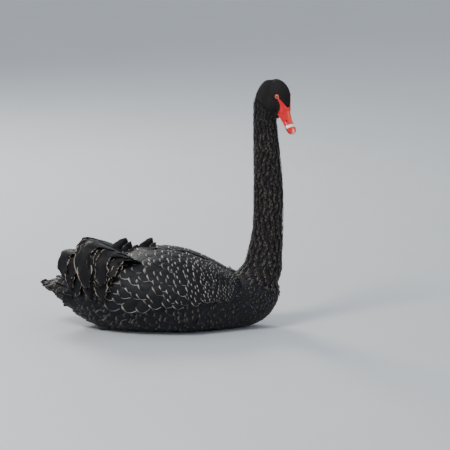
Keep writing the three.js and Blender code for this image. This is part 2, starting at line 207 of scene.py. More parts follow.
@dataclass
class Neck:
    """The neck's tube and the nape that closes it."""

    line: tuple[tuple[float, float, float, float], ...] = (
        (130, 80, 44, 74), (180, 92, 47, 62), (222, 134, 48.5, 50), (234.5, 196, 42, 40),
        (240, 255, 38, 36), (241, 320, 37.5, 34.5), (239.5, 380, 36, 32.5),
        (236, 445, 33, 29.5), (232.5, 510, 30.5, 25.5), (233, 560, 30.5, 22.5))
    nape_x: float = 242
    nape_top: float = 619

    def rows(self, lift: float, around: int, along: int) -> list[Array]:
        """Rings up the neck and over the nape.

        Args:
            lift: how far the surface stands off the CAD's.
            around: points in a ring.
            along: rings up the tube.

        Returns:
            The rings, each shaped (around, 3).
        """
        keys = np.array(self.line)
        steps = np.arange(len(keys))
        curves = [Profile(list(zip(steps, keys[:, i]))) for i in range(4)]
        angle = full_turn(around)
        rings = []
        for s in np.linspace(0.15, len(keys) - 1, along):
            x, z, depth, width = (float(c(s)) for c in curves)
            dx = float(curves[0](s + 0.05) - curves[0](s - 0.05))
            dz = float(curves[1](s + 0.05) - curves[1](s - 0.05))
            length = math.hypot(dx, dz)
            tx, tz = dx / length, dz / length
            out = (depth + lift) * np.cos(angle)
            rings.append(np.stack([x + tz * out, (width + lift) * np.sin(angle), z - tx * out], -1))
        x0, z0, depth, width = self.line[-1]
        for turn in np.linspace(0, math.pi / 2, 10)[1:-1]:
            x = x0 + (self.nape_x - x0) * math.sin(turn)
            z = z0 + (self.nape_top - z0 + lift) * math.sin(turn)
            shrink = math.cos(turn)
            rings.append(np.stack([
                x + (depth + lift) * shrink * np.cos(angle),
                (width + lift) * shrink * np.sin(angle),
                np.full(around, z)], -1))
        return rings

    def above_root(self, p: Array) -> Array:
        """Whether places lie above the slanting line where the neck leaves the body."""
        return (0.35 * (p[:, 0] - 160) + 0.936 * (p[:, 2] - 138) > 0) & (p[:, 0] > 130)


@dataclass(frozen=True)
class Swelling:
    """A rounded form on each side of the face, in the head's frame."""

    centre: Place
    size: Place
    around: int
    along: int


CHEEK = Swelling((-100, 14, -2), (32, 18.5, 21), 32, 20)
GAPE = Swelling((-72, 9.5, -11), (18, 8, 8), 24, 14)


@dataclass
class Head:
    """The head in a frame of its own: x forward from the bill's tip, y left, z to the crown."""

    tip: Place = (300.5, -46, 489)
    pitch: float = math.radians(50)
    yaw: float = math.radians(50)
    bend: float = 2.1
    rear: float = -146
    front: float = -50
    crown: Profile = Profile([
        (-146, 17), (-141, 31), (-128, 42), (-111, 47.5), (-95, 47), (-80, 41), (-68, 32.5),
        (-58, 25.5), (-50, 17)])
    jaw: Profile = Profile([
        (-146, 13), (-141, -2), (-128, -15), (-111, -22), (-95, -21), (-78, -16), (-66, -12),
        (-58, -9), (-50, -5)])
    half_width: Profile = Profile([
        (-146, 3), (-141, 14), (-128, 22.5), (-111, 26.5), (-95, 25), (-78, 19), (-66, 15.5),
        (-58, 14), (-50, 10)])

    def axes(self) -> Array:
        """How the head's frame lies in the bird's.

        Returns:
            Its x, y and z axes, as rows.
        """
        cp, sp = math.cos(self.pitch), math.sin(self.pitch)
        cy, sy = math.cos(self.yaw), math.sin(self.yaw)
        return np.array([[cp * cy, -cp * sy, -sp], [sy, cy, 0], [sp * cy, -sp * sy, cp]])

    def to_world(self, local: Array) -> Array:
        """Points of the head's frame in the bird's."""
        return np.asarray(local, float) @ self.axes() + np.array(self.tip)

    def to_local(self, world: Array) -> Array:
        """Points of the bird's frame in the head's."""
        return (np.asarray(world, float) - np.array(self.tip)) @ self.axes().T

    def surface(self, x: Array, angle: Array, lift: float) -> Array:
        """Points of the head's surface, in its own frame.

        Args:
            x: places along the head.
            angle: angles from its left side up over the crown.
            lift: how far they stand off.

        Returns:
            The points, shaped (..., 3).
        """
        x, angle = np.broadcast_arrays(np.asarray(x, float), np.asarray(angle, float))
        top, under = self.crown(x), self.jaw(x)
        y = (self.half_width(x) + lift) * squared(np.cos(angle), self.bend)
        z = (top + under) / 2 + ((top - under) / 2 + lift) * squared(np.sin(angle), self.bend)
        return np.stack([x, y, z], -1)

    def swelling(self, form: Swelling, side: Side, lift: float) -> Form:
        """A full cheek, which overhangs the throat, or the feathered corner of the mouth.

        Args:
            form: which of them.
            side: the side of the face.
            lift: how far its surface stands off the CAD's.

        Returns:
            A closed form in the bird's frame.
        """
        points, faces = ball(form.around, form.along)
        centre = np.array(form.centre) * [1, side.value, 1]
        return self.to_world(centre + (np.array(form.size) + lift) * points), faces

    def side_at(self, x: Array, z: Array) -> Array:
        """Half the head's width, for what lies on its side.

        Args:
            x: places along the head.
            z: heights in its frame.

        Returns:
            The half widths there.
        """
        middle, half = (self.crown(x) + self.jaw(x)) / 2, (self.crown(x) - self.jaw(x)) / 2
        share = np.clip(np.abs(z - middle) / half, 0, 0.995) ** self.bend
        return self.half_width(x) * (1 - share) ** (1 / self.bend)


TRUNK, NECK, HEAD = Trunk(), Neck(), Head()


# Meshes


def mesh_object(name: str, points: Array, faces: Faces) -> bpy.types.Object:
    """A new object from points in millimetres.

    Args:
        name: its name, which is the piece's.
        points: shaped (n, 3).
        faces: corners of each face.

    Returns:
        The object, linked to the scene.
    """
    mesh = bpy.data.meshes.new(name)
    mesh.from_pydata((np.asarray(points) * MM).tolist(), [], faces)
    mesh.validate()
    mesh.update()
    made = bpy.data.objects.new(name, mesh)
    bpy.context.scene.collection.objects.link(made)
    return made


def tube(rings: list[Array], first: Array, last: Array) -> Form:
    """A closed surface through rings, ending in a point at each end.

    Args:
        rings: equal rings, each shaped (n, 3).
        first: the point that closes the start.
        last: the point that closes the end.

    Returns:
        The points and faces.
    """
    n, m = len(rings[0]), len(rings)
    points = np.concatenate([*rings, [first], [last]])
    faces = [(r * n + i, r * n + (i + 1) % n, (r + 1) * n + (i + 1) % n, (r + 1) * n + i)
             for r in range(m - 1) for i in range(n)]
    faces += [(m * n, (i + 1) % n, i) for i in range(n)]
    faces += [(m * n + 1, (m - 1) * n + i, (m - 1) * n + (i + 1) % n) for i in range(n)]
    return points, faces


def ball(around: int, along: int) -> Form:
    """A sphere of radius one with its poles on the first axis.

    Args:
        around: points in a ring.
        along: steps from pole to pole.

    Returns:
        The points and faces.
    """
    turn = full_turn(around)
    ring = np.stack([np.ones(around), np.cos(turn), np.sin(turn)], -1)
    rings = [ring * [math.cos(a), math.sin(a), math.sin(a)] for a in math.pi * np.arange(1, along) / along]
    return tube(rings, np.array([1.0, 0, 0]), np.array([-1.0, 0, 0]))


def joined(forms: list[Form]) -> Form:
    """Several forms as one.

    Args:
        forms: the points and faces of each.

    Returns:
        All their points and faces.
    """
    faces, start = [], 0
    for points, form_faces in forms:
        faces += [tuple(start + i for i in face) for face in form_faces]
        start += len(points)
    return np.concatenate([points for points, _ in forms]), faces


def grid_faces(rows: int, columns: int) -> Faces:
    """Faces of a sheet of rows by columns of points."""
    return [(r * columns + c, r * columns + c + 1, (r + 1) * columns + c + 1, (r + 1) * columns + c)
            for r in range(rows - 1) for c in range(columns - 1)]


def outward(piece: bpy.types.Object) -> None:
    """Turn a closed piece's faces to look out.

    Args:
        piece: its object.
    """
    work = bmesh.new()
    work.from_mesh(piece.data)
    bmesh.ops.recalc_face_normals(work, faces=work.faces)
    work.to_mesh(piece.data)
    work.free()


def settle(piece: bpy.types.Object) -> bpy.types.Object:
    """Apply a piece's modifiers by baking the evaluated mesh into it.

    Args:
        piece: an object with modifiers.

    Returns:
        The same object, plain.
    """
    graph = bpy.context.evaluated_depsgraph_get()
    made = bpy.data.meshes.new_from_object(piece.evaluated_get(graph), depsgraph=graph)
    old = piece.data
    piece.modifiers.clear()
    piece.data = made
    bpy.data.meshes.remove(old)
    made.name = piece.name
    return piece


def store(mesh: bpy.types.Mesh, name: str, values: Array) -> None:
    """Keep one number for each vertex under a name."""
    layer = mesh.attributes.new(name, "FLOAT", "POINT")
    layer.data.foreach_set("value", np.ascontiguousarray(values, np.float32))


def store_uv(mesh: bpy.types.Mesh, name: str, corners: Array) -> None:
    """Keep a UV map given for each corner."""
    layer = mesh.uv_layers.new(name=name)
    layer.data.foreach_set("uv", np.ascontiguousarray(corners, np.float32).ravel())


def corner_vertices(mesh: bpy.types.Mesh) -> Array:
    """The vertex of each face corner.

    Args:
        mesh: the mesh.

    Returns:
        The vertices' numbers.
    """
    index = np.empty(len(mesh.loops), np.int32)
    mesh.loops.foreach_get("vertex_index", index)
    return index


def store_round(mesh: bpy.types.Mesh, spots: Array, turn: float) -> None:
    """Keep the OFBake map of a shape unrolled round its length, with no face torn at the seam.

    Args:
        mesh: the shape.
        spots: each vertex's place on the map.
        turn: the map's width for a whole turn.
    """
    corners = spots[corner_vertices(mesh)]
    counts = np.array([face.loop_total for face in mesh.polygons])
    starts = np.concatenate([[0], np.cumsum(counts)[:-1]])
    across = corners[:, 0]
    torn = np.maximum.reduceat(across, starts) - np.minimum.reduceat(across, starts) > turn / 2
    corners[np.repeat(torn, counts) & (across < 0.5), 0] += turn
    store_uv(mesh, "OFBake", corners)


def vertex_places(mesh: bpy.types.Mesh, name: str = "co") -> Array:
    """Every vertex's place or normal.

    Args:
        mesh: the mesh.
        name: co for places, in millimetres, or normal.

    Returns:
        The vectors, shaped (n, 3).
    """
    values = np.empty(len(mesh.vertices) * 3)
    mesh.vertices.foreach_get(name, values)
    return values.reshape(-1, 3) / (MM if name == "co" else 1)


def keep_above(piece: bpy.types.Object, height: float) -> None:
    """Press what would pass through the floor up off it.

    Args:
        piece: its object.
        height: the lowest place left, in millimetres.
    """
    places = vertex_places(piece.data)
    places[:, 2] = np.maximum(places[:, 2], height)
    piece.data.vertices.foreach_set("co", (places * MM).ravel())
    piece.data.update()


def finish_piece(piece: bpy.types.Object, finish: bpy.types.Material | None,
                 nodes: list[str] | None = None) -> None:
    """Dress a piece, put it on the body and report it.

    Args:
        piece: a plain mesh object.
        finish: its material, or None to keep what it has.
        nodes: the CAD nodes it stands for.
    """
    if finish is not None:
        piece.data.materials.clear()
        piece.data.materials.append(finish)
    piece.data.shade_smooth()
    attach(piece, BODY)
    if nodes:
        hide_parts(*nodes)
    piece.data.calc_loop_triangles()
    log.info("%s: %d triangles", piece.name, len(piece.data.loop_triangles))


MAP_EDGE = 0.01
MAP_TURN = 0.96


def chart(points: Array) -> Array:
    """Where points of the bird lie on the unwrap of its own form.

    Args:
        points: in millimetres, shaped (n, 3).

    Returns:
        Places on the map: the trunk below, the neck above it and the head at the top.
    """
    points = np.asarray(points, float)
    x, y, z = points.T
    local = HEAD.to_local(points)
    on_neck = NECK.above_root(points)
    on_head = (z > 545) & (local[:, 0] > -150)
    line = np.array(NECK.line)
    centre = np.interp(z, line[:, 1], line[:, 0])
    turn = np.where(on_head, turned(local[:, 2] - 14, local[:, 1]),
                    np.where(on_neck, turned(y, x - centre), turned(z - TRUNK.widest(x), y)))
    rise = np.where(on_head, 0.80 + 0.19 * (local[:, 0] + 150) / 160,
                    np.where(on_neck, 0.49 + 0.29 * (z - 80) / 545, MAP_EDGE + 0.46 * (x + 320) / 600))
    return np.stack([MAP_EDGE + MAP_TURN * turn, rise], -1)


# Finishes


def linear(code: str) -> tuple[float, float, float, float]:
    """A hex sRGB colour as linear light."""
    parts = [int(code[i:i + 2], 16) / 255 for i in (1, 3, 5)]
    return (*[c / 12.92 if c <= 0.04045 else ((c + 0.055) / 1.055) ** 2.4 for c in parts], 1.0)


class Graph:
    """A node tree while it is being built."""

    def __init__(self, tree: bpy.types.NodeTree) -> None:
        """Keep the tree."""
        self.tree = tree

    def add(self, kind: str, inputs: dict[int | str, object], output: int | str = 0,
            **settings: object) -> Socket:
        """Add a node with its settings, then link or set its inputs.

        Args:
            kind: the node's Blender type.
            inputs: another node's output, or a value, by the input's name or number.
            output: which of its outputs is wanted.
            settings: properties to set on it.

        Returns:
            That output.
        """
        made = self.tree.nodes.new(kind)
        for key, value in settings.items():
            setattr(made, key, value)
        for key, value in inputs.items():
            self.feed(made.inputs[key], value)
        return made.outputs[output]

    def feed(self, entry: Socket, value: object) -> None:
        """Link or set an input.

        Args:
            entry: the input.
            value: another node's output, or a value.
        """
        if isinstance(value, Socket):
            self.tree.links.new(value, entry)
        else:
            entry.default_value = value


class Shader(Graph):
    """A material's tree, which ends in one principled shader."""

    def __init__(self, name: str) -> None:
        """Start a material.

        Args:
            name: what the real surface is.
        """
        self.material = bpy.data.materials.new(name)
        self.material.use_nodes = True
        super().__init__(self.material.node_tree)
        self.place = self.add("ShaderNodeTexCoord", {}, "Object")

    def finish(self, looks: dict[str, object]) -> bpy.types.Material:
        """Give the principled shader its colour, bump and values.

        Args:
            looks: outputs or values by the shader's input.

        Returns:
            The material.
        """
        for key, value in looks.items():
            self.feed(self.tree.nodes["Principled BSDF"].inputs[key], value)
        return self.material


SMOOTH = {"interpolation_type": "SMOOTHSTEP"}
COLOUR = {"data_type": "RGBA"}


@dataclass(frozen=True)
class Plumage:
    """Feathers of black keratin: satin vanes that drink the light, a paler worn fringe, fine barbs."""

    name: str
    vane: str = "#09090b"
    sheen: str = "#0e1117"
    fringe: str = "#5d5350"
    fringe_from: float = 0.80
    fringe_to: float = 0.95
    fringe_share: float = 0.75
    rough: float = 0.52
    gloss: float = 0.22
    barbs: float = 30.0

    def make(self) -> bpy.types.Material:
        """Build the material; it reads each feather's edge, tip and tone numbers.

        Returns:
            The material.
        """
        s = Shader(self.name)
        edge, tip, tone = (s.add("ShaderNodeAttribute", {}, "Fac", attribute_name=name)
                           for name in ("edge", "tip", "tone"))
        # Patches about 25 mm across, as the plumage's sheen drifts over the body.
        drift = s.add("ShaderNodeTexNoise", {"Vector": s.place, "Scale": 1 / (25 * MM), "Detail": 3.0})
        patch = s.add("ShaderNodeMapRange", {"Value": drift, "From Min": 0.35, "From Max": 0.65}, **SMOOTH)
        base = s.add("ShaderNodeMix", {0: patch, 6: linear(self.vane), 7: linear(self.sheen)}, 2, **COLOUR)
        # The fringe runs round the tip: along the edges near it, and over its end.
        near_tip = s.add("ShaderNodeMapRange", {"Value": tip, "From Min": 0.1, "From Max": 0.5}, **SMOOTH)
        beside = s.add("ShaderNodeMath", {0: edge, 1: near_tip}, operation="MULTIPLY")
        reach = s.add("ShaderNodeMath", {0: beside, 1: tip}, operation="MAXIMUM")
        rim = s.add("ShaderNodeMapRange", {"Value": reach, "From Min": self.fringe_from,
                                           "From Max": self.fringe_to, "To Max": self.fringe_share}, **SMOOTH)
        share = s.add("ShaderNodeMath", {0: rim, 1: tone}, operation="MULTIPLY")
        colour = s.add("ShaderNodeMix", {0: share, 6: base, 7: linear(self.fringe)}, 2, **COLOUR)
        # Barbs slant from the shaft to the tip. Real ones are 0.3 mm apart, too fine to show, so a
        # feather has only as many as leave 0.5 to 3 mm between them.
        pace = self.barbs * 2 * math.pi
        behind = s.add("ShaderNodeMath", {0: tip, 1: -pace}, operation="MULTIPLY")
        slant = s.add("ShaderNodeMath", {0: edge, 1: 0.6 * pace, 2: behind}, operation="MULTIPLY_ADD")
        waves = s.add("ShaderNodeMath", {0: slant}, operation="SINE")
        bump = s.add("ShaderNodeBump", {"Height": waves, "Strength": 0.25, "Distance": 0.3 * MM})
        return s.finish({"Base Color": colour, "Normal": bump, "Roughness": self.rough,
                         "Specular IOR Level": self.gloss, "Sheen Weight": 0.03, "Sheen Roughness": 0.4})


@dataclass(frozen=True)
class Down:
    """Close black down over the skin: dull and soft, so that gaps between feathers stay dark."""

    name: str = "black down"
    base: str = "#0d0c0e"
    tuft: str = "#1a1819"

    def make(self) -> bpy.types.Material:
        """Build the material.

        Returns:
            The material.
        """
        s = Shader(self.name)
        # Down in clumps about 2.5 mm across.
        clumps = s.add("ShaderNodeTexNoise", {"Vector": s.place, "Scale": 1 / (2.5 * MM), "Detail": 4.0})
        share = s.add("ShaderNodeMapRange", {"Value": clumps, "From Min": 0.4, "From Max": 0.7}, **SMOOTH)
        colour = s.add("ShaderNodeMix", {0: share, 6: linear(self.base), 7: linear(self.tuft)}, 2, **COLOUR)
        bump = s.add("ShaderNodeBump", {"Height": clumps, "Strength": 0.5, "Distance": 1.2 * MM})
        return s.finish({"Base Color": colour, "Normal": bump, "Roughness": 0.8, "Specular IOR Level": 0.15})


@dataclass(frozen=True)
class Horn:
    """The bill's waxy red horn: satin, faintly mottled, with a crisp white band, a pale nail, a painted
    highlight on the ridge and painted shade at the nostrils and lower edge.
    """

    name: str = "waxy red horn"
    red: str = "#e00016"
    deep: str = "#b0000e"
    # A painted highlight, orange, along the culmen ridge.
    orange: str = "#ff5a1e"
    white: str = "#f4eeea"
    nail: str = "#f0b0a4"
    # Painted shade, in the nostrils and along the lower edge towards the tip.
    dark: str = "#3a0a10"

    def make(self) -> bpy.types.Material:
        """Build the material; it reads along, ridge, edge and nostril, stored on the bill.

        Returns:
            The material.
        """
        s = Shader(self.name)
        along, ridge, edge, nostril = (s.add("ShaderNodeAttribute", {}, "Fac", attribute_name=name)
                                       for name in ("along", "ridge", "edge", "nostril"))
        # Mottling 4 mm across, and a grain of two thirds of a millimetre.
        blotch, grain = (s.add("ShaderNodeTexNoise", {"Vector": s.place, "Scale": 1 / (size * MM),
                                                      "Detail": detail})
                         for size, detail in ((4.0, 3.0), (2 / 3, 2.0)))
        # The marks wander up to 1.5 mm along the bill with the mottling.
        centred = s.add("ShaderNodeMath", {0: blotch, 1: 0.5}, operation="SUBTRACT")
        place = s.add("ShaderNodeMath", {0: centred, 1: 3.0, 2: along}, operation="MULTIPLY_ADD")
        flank = s.add("ShaderNodeMath", {0: place, 1: 0.06, 2: ridge}, operation="MULTIPLY_ADD")
        # Each mask rises from 0 to 1 between two values, the lengths in millimetres from the tip.
        mottle, band_start, band_end, off_edge, nail_top, nail_start, edge_shade, edge_shade_start = (
            s.add("ShaderNodeMapRange", {"Value": value, "From Min": low, "From Max": high}, **SMOOTH)
            for value, low, high in (
                (blotch, 0.35, 0.75), (place, -24.0, -22.7), (place, -16.0, -17.3), (edge, 0.12, 0.3),
                (flank, -0.25, 0.35), (place, -14.0, -9.0), (edge, 0.12, 0.02), (place, -34.0, -12.0)))
        colour = linear(self.red)
        for paint, share, *factors in (
                # Painted highlight: orange along the ridge.
                (self.deep, mottle), (self.orange, ridge, 0.75), (self.white, band_start, band_end, off_edge),
                # The nail is its own pale colour; the dark in the nostrils is painted shade.
                (self.nail, nail_top, nail_start, 0.85), (self.dark, nostril),
                # Painted shade along the lower edge, deeper towards the tip, and under the upper half.
                (self.dark, edge_shade, edge_shade_start, 0.7)):
            for factor in factors:
                share = s.add("ShaderNodeMath", {0: share, 1: factor}, operation="MULTIPLY")
            colour = s.add("ShaderNodeMix", {0: share, 6: colour, 7: linear(paint)}, 2, **COLOUR)
        rough = s.add("ShaderNodeMapRange", {"Value": blotch, "From Min": -0.6, "From Max": 2.6}, **SMOOTH)
        bump = s.add("ShaderNodeBump", {"Height": grain, "Strength": 0.15, "Distance": 0.3 * MM})
        return s.finish({"Base Color": colour, "Normal": bump, "Roughness": rough, "Specular IOR Level": 0.5})


@dataclass(frozen=True)
class Iris:
    """The wet eyeball: a black pupil in an orange-red iris, under a clear film that glints."""

    name: str = "wet iris"
    pupil: str = "#060606"
    red: str = "#b82408"
    orange: str = "#e8501c"
    white: str = "#3a1410"

    def make(self) -> bpy.types.Material:
        """Build the material; it reads polar, 0 at the pupil's middle and 1 a quarter turn off.

        Returns:
            The material.
        """
        s = Shader(self.name)
        polar = s.add("ShaderNodeAttribute", {}, "Fac", attribute_name="polar")
        # Flecks of 0.4 mm.
        fleck = s.add("ShaderNodeTexNoise", {"Vector": s.place, "Scale": 1 / (0.4 * MM), "Detail": 2.0})
        iris = s.add("ShaderNodeMix", {0: fleck, 6: linear(self.red), 7: linear(self.orange)}, 2, **COLOUR)
        off_pupil, off_iris = (
            s.add("ShaderNodeMapRange", {"Value": polar, "From Min": low, "From Max": high}, **SMOOTH)
            for low, high in ((0.21, 0.26), (0.80, 0.90)))
        colour = s.add("ShaderNodeMix", {0: off_pupil, 6: linear(self.pupil), 7: iris}, 2, **COLOUR)
        colour = s.add("ShaderNodeMix", {0: off_iris, 6: colour, 7: linear(self.white)}, 2, **COLOUR)
        return s.finish({"Base Color": colour, "Roughness": 0.08, "Coat Weight": 1.0, "Coat Roughness": 0.03})


@dataclass(frozen=True)
class Flesh:
    """Bare skin in small raised cells, as on the eyelids' rim and the legs: even and half dull."""

    name: str
    base: str
    tint: str
    cell: float  # millimetres across
    rough: float

    def make(self) -> bpy.types.Material:
        """Build the material.

        Returns:
            The material.
        """
        s = Shader(self.name)
        cells = s.add("ShaderNodeTexVoronoi", {"Vector": s.place, "Scale": 1 / (self.cell * MM)}, "Distance")
        share = s.add("ShaderNodeMapRange", {"Value": cells, "From Min": 0.1, "From Max": 0.7}, **SMOOTH)
        colour = s.add("ShaderNodeMix", {0: share, 6: linear(self.base), 7: linear(self.tint)}, 2, **COLOUR)
        bump = s.add("ShaderNodeBump", {"Height": cells, "Strength": 0.4, "Distance": 0.6 * MM})
        return s.finish({"Base Color": colour, "Normal": bump, "Roughness": self.rough})


# The skin


@dataclass
class Skin:
    """One skin over trunk, neck, head, tail and folded wings, under the coat."""

    coat: float = 3.0
    head_coat: float = 0.9
    cheek_coat: float = 1.2
    voxel: float = 2.6
    wing_depth: float = 9.0
    wing_root: float = 8.0
    wing_rear: float = -198
    wing_length: float = 360
    lowest: float = 1.0
    tail_rear: float = -300
    tail_length: float = 95
    tail_top: Profile = Profile([(-300, 106), (-275, 118), (-245, 130), (-205, 138)])
    tail_under: Profile = Profile([(-300, 102), (-275, 86), (-258, 70), (-235, 56), (-205, 48)])
    tail_half: Profile = Profile([(-300, 8), (-285, 28), (-255, 40), (-205, 46)])

    def trunk(self) -> Form:
        """The trunk's surface.

        Returns:
            A closed form.
        """
        xs = TRUNK.tail_end + (TRUNK.breast - TRUNK.tail_end) * crowded(60)
        rings = [TRUNK.point(x, full_turn(72), -self.coat) for x in xs]
        ends = [np.array([x, 0, float(TRUNK.widest(x))]) for x in (xs[0] - 1, xs[-1])]
        return tube(rings, *ends)

    def neck(self) -> Form:
        """The neck's surface."""
        rings = NECK.rows(-self.coat, 40, 60)
        return tube(rings, rings[0].mean(0), np.array([NECK.nape_x, 0, NECK.nape_top - self.coat]))

    def head(self) -> Form:
        """The head's surface.

        Returns:
            A closed form.
        """
        xs = HEAD.rear + (HEAD.front - HEAD.rear) * crowded(40)
        rings = [HEAD.to_world(HEAD.surface(x, full_turn(40), -self.head_coat)) for x in xs]
        return tube(rings, rings[0].mean(0), rings[-1].mean(0))

    def tail(self) -> Form:
        """The tail's fleshy root.

        Returns:
            A closed form.
        """
        angle = full_turn(40)
        rings = []
        for x in self.tail_rear + self.tail_length * crowded(20):
            top, under = self.tail_top(x), self.tail_under(x)
            rings.append(np.stack([np.full(40, x), self.tail_half(x) * np.cos(angle),
                                   (top + under) / 2 + (top - under) / 2 * np.sin(angle)], -1))
        return tube(rings, rings[0].mean(0), rings[-1].mean(0))

    def wing(self, side: Side) -> Form:
        """The folded wing's form, under its coverts.

        Args:
            side: which wing.

        Returns:
            A closed form.
        """
        turn = full_turn(48)
        rings = []
        for share in crowded(34):
            reach = math.sin(math.pi * share) ** 0.4
            rise = 0.78 + 0.60 * reach * np.cos(turn)
            depth = np.abs(np.sin(turn))
            stand = np.where(np.sin(turn) > 0, self.wing_depth * depth * reach, -self.wing_root * depth**0.4)
            angle = rise if side is Side.LEFT else math.pi - rise
            rings.append(TRUNK.point(self.wing_rear + self.wing_length * share, angle, stand))
        return tube(rings, rings[0].mean(0), rings[-1].mean(0))

    def build(self) -> bpy.types.Object:
        """Join the forms into one closed skin and map it.

        Returns:
            The skin.
        """
        forms = [self.trunk(), self.neck(), self.head(), self.tail()]
        for side in Side:
            forms += [self.wing(side), HEAD.swelling(CHEEK, side, -self.cheek_coat),
                      HEAD.swelling(GAPE, side, 0.0)]
        skin = mesh_object("skin", *joined(forms))
        remesh = skin.modifiers.new("join", "REMESH")
        remesh.mode, remesh.voxel_size, remesh.adaptivity = "VOXEL", self.voxel * MM, 0.0
        smooth = skin.modifiers.new("soften", "SMOOTH")
        smooth.factor, smooth.iterations = 0.5, 10
        settle(skin)
        outward(skin)
        keep_above(skin, self.lowest)
        store_round(skin.data, chart(vertex_places(skin.data)), MAP_TURN)
        return skin


# Feathers


@dataclass
class Vane:
    """A small feather one unit long and wide, bowed over its shaft, to be set many times."""

    name: str
    rows: int
    columns: int
    bow: float
    curl: float
    base: float = 0.55

    def build(self) -> bpy.types.Object:
        """Make it, along +Y with its face to +Z, hidden from the render.

        Returns:
            The feather.
        """
        t = np.sin(np.linspace(0, math.pi / 2, self.rows)) ** 0.9
        s = np.linspace(-1, 1, self.columns)
        taper = np.clip((t - 0.5) / 0.515, 0, 1) ** 2.6
        width = np.minimum(self.base + 1.4 * t, 1) * np.sqrt(np.clip(1 - taper, 0, 1))
        tt, ss = np.meshgrid(t, s, indexing="ij")
        x = 0.5 * ss * width[:, None]
        y = tt - 0.10 * ss**2 * tt
        z = self.bow * (1 - ss**2) * 0.5 - self.curl * tt**2
        points = np.stack([x, y, z], -1).reshape(-1, 3) / MM
        made = mesh_object(self.name, points, grid_faces(self.rows, self.columns))
        store(made.data, "edge", np.abs(ss).ravel())
        store(made.data, "tip", tt.ravel())
        flat = np.stack([0.5 + x, tt], -1).reshape(-1, 2)
        store_uv(made.data, "FeatherUV", flat[corner_vertices(made.data)])
        made.hide_render = made.hide_viewport = True
        return made


@dataclass
class Roots:
    """Where feathers grow and how each lies."""

    place: Array
    normal: Array
    flow: Array
    length: Array
    width: Array
    tone: Array
    tilt: Array

    def turns(self) -> Array:
        """Each feather's rotation: +Y along it, +Z away from the body.

        Returns:
            XYZ Euler angles, shaped (n, 3).
        """
        along = unit(self.flow - (self.flow * self.normal).sum(-1, keepdims=True) * self.normal)
        along = unit(along * np.cos(self.tilt)[:, None] + self.normal * np.sin(self.tilt)[:, None])
        across = unit(np.cross(along, self.normal))
        out = np.cross(across, along)
        return np.array([Matrix(np.stack([a, b, c], -1).tolist()).to_euler("XYZ")[:]
                         for a, b, c in zip(across, along, out)])


SMALL_PATCH = 0.003
COAT_FLOOR = 0.3


class FeatherTree(Graph):
    """The node group that sets a vane on every root and maps it to its root's place."""

    def __init__(self) -> None:
        """Build the group with its named inputs."""
        super().__init__(bpy.data.node_groups.new("feather coat", "GeometryNodeTree"))
        face = self.tree.interface
        for name, kind in (("Roots", "Geometry"), ("Vane", "Object"), ("Patch size", "Float"),
                           ("Finish", "Material")):
            face.new_socket(name, in_out="INPUT", socket_type=f"NodeSocket{kind}")
        face.new_socket("Coat", in_out="OUTPUT", socket_type="NodeSocketGeometry")
        entry, leave = (self.tree.nodes.new(f"NodeGroup{end}") for end in ("Input", "Output"))
        turn, size, flat, root_spot = (
            self.add("GeometryNodeInputNamedAttribute", {"Name": name}, data_type="FLOAT_VECTOR")
            for name in ("turn", "size", "FeatherUV", "root_spot"))
        vane = self.add("GeometryNodeObjectInfo", {"Object": entry.outputs["Vane"]}, "Geometry")
        rotation = self.add("FunctionNodeEulerToRotation", {0: turn})
        spread = self.add("GeometryNodeInstanceOnPoints", {
            "Points": entry.outputs["Roots"], "Instance": vane, "Rotation": rotation, "Scale": size})
        real = self.add("GeometryNodeRealizeInstances", {0: spread})
        centred = self.add("ShaderNodeVectorMath", {0: flat, 1: (0.5, 0.5, 0.0)}, operation="SUBTRACT")
        scaled = self.add("ShaderNodeVectorMath", {0: centred, "Scale": entry.outputs["Patch size"]},
                          operation="SCALE")
        spot = self.add("ShaderNodeVectorMath", {0: root_spot, 1: scaled}, operation="ADD")
        mapped = self.add("GeometryNodeStoreNamedAttribute", {
            "Geometry": real, "Name": "OFBake", "Value": spot}, data_type="FLOAT2", domain="CORNER")
        dressed = self.add("GeometryNodeSetMaterial", {
            "Geometry": mapped, "Material": entry.outputs["Finish"]})
        self.feed(leave.inputs[0], dressed)

    def coat(self, name: str, roots: Roots, vane: bpy.types.Object,
             finish: bpy.types.Material) -> bpy.types.Object:
        """A coat of feathers as one plain mesh.

        Args:
            name: the piece's name.
            roots: where the feathers grow.
            vane: the feather to set.
            finish: the coat's material.

        Returns:
            The piece.
        """
        piece = mesh_object(name, roots.place, [])
        spots = chart(roots.place)
        vectors = {
            "turn": roots.turns(),
            "size": np.stack([roots.width, roots.length, roots.width], -1) * MM,
            "root_spot": np.concatenate([spots, np.zeros((len(spots), 1))], -1),
        }
        for key, value in vectors.items():
            layer = piece.data.attributes.new(key, "FLOAT_VECTOR", "POINT")
            layer.data.foreach_set("vector", np.ascontiguousarray(value, np.float32).ravel())
        store(piece.data, "tone", roots.tone)
        grow = piece.modifiers.new("coat", "NODES")
        grow.node_group = self.tree
        given = {"Vane": vane, "Patch size": SMALL_PATCH, "Finish": finish}
        for item in self.tree.interface.items_tree:
            if item.name in given:
                grow[item.identifier] = given[item.name]
        settle(piece)
        keep_above(piece, COAT_FLOOR)
        bpy.data.objects.remove(vane, do_unlink=True)
        return piece


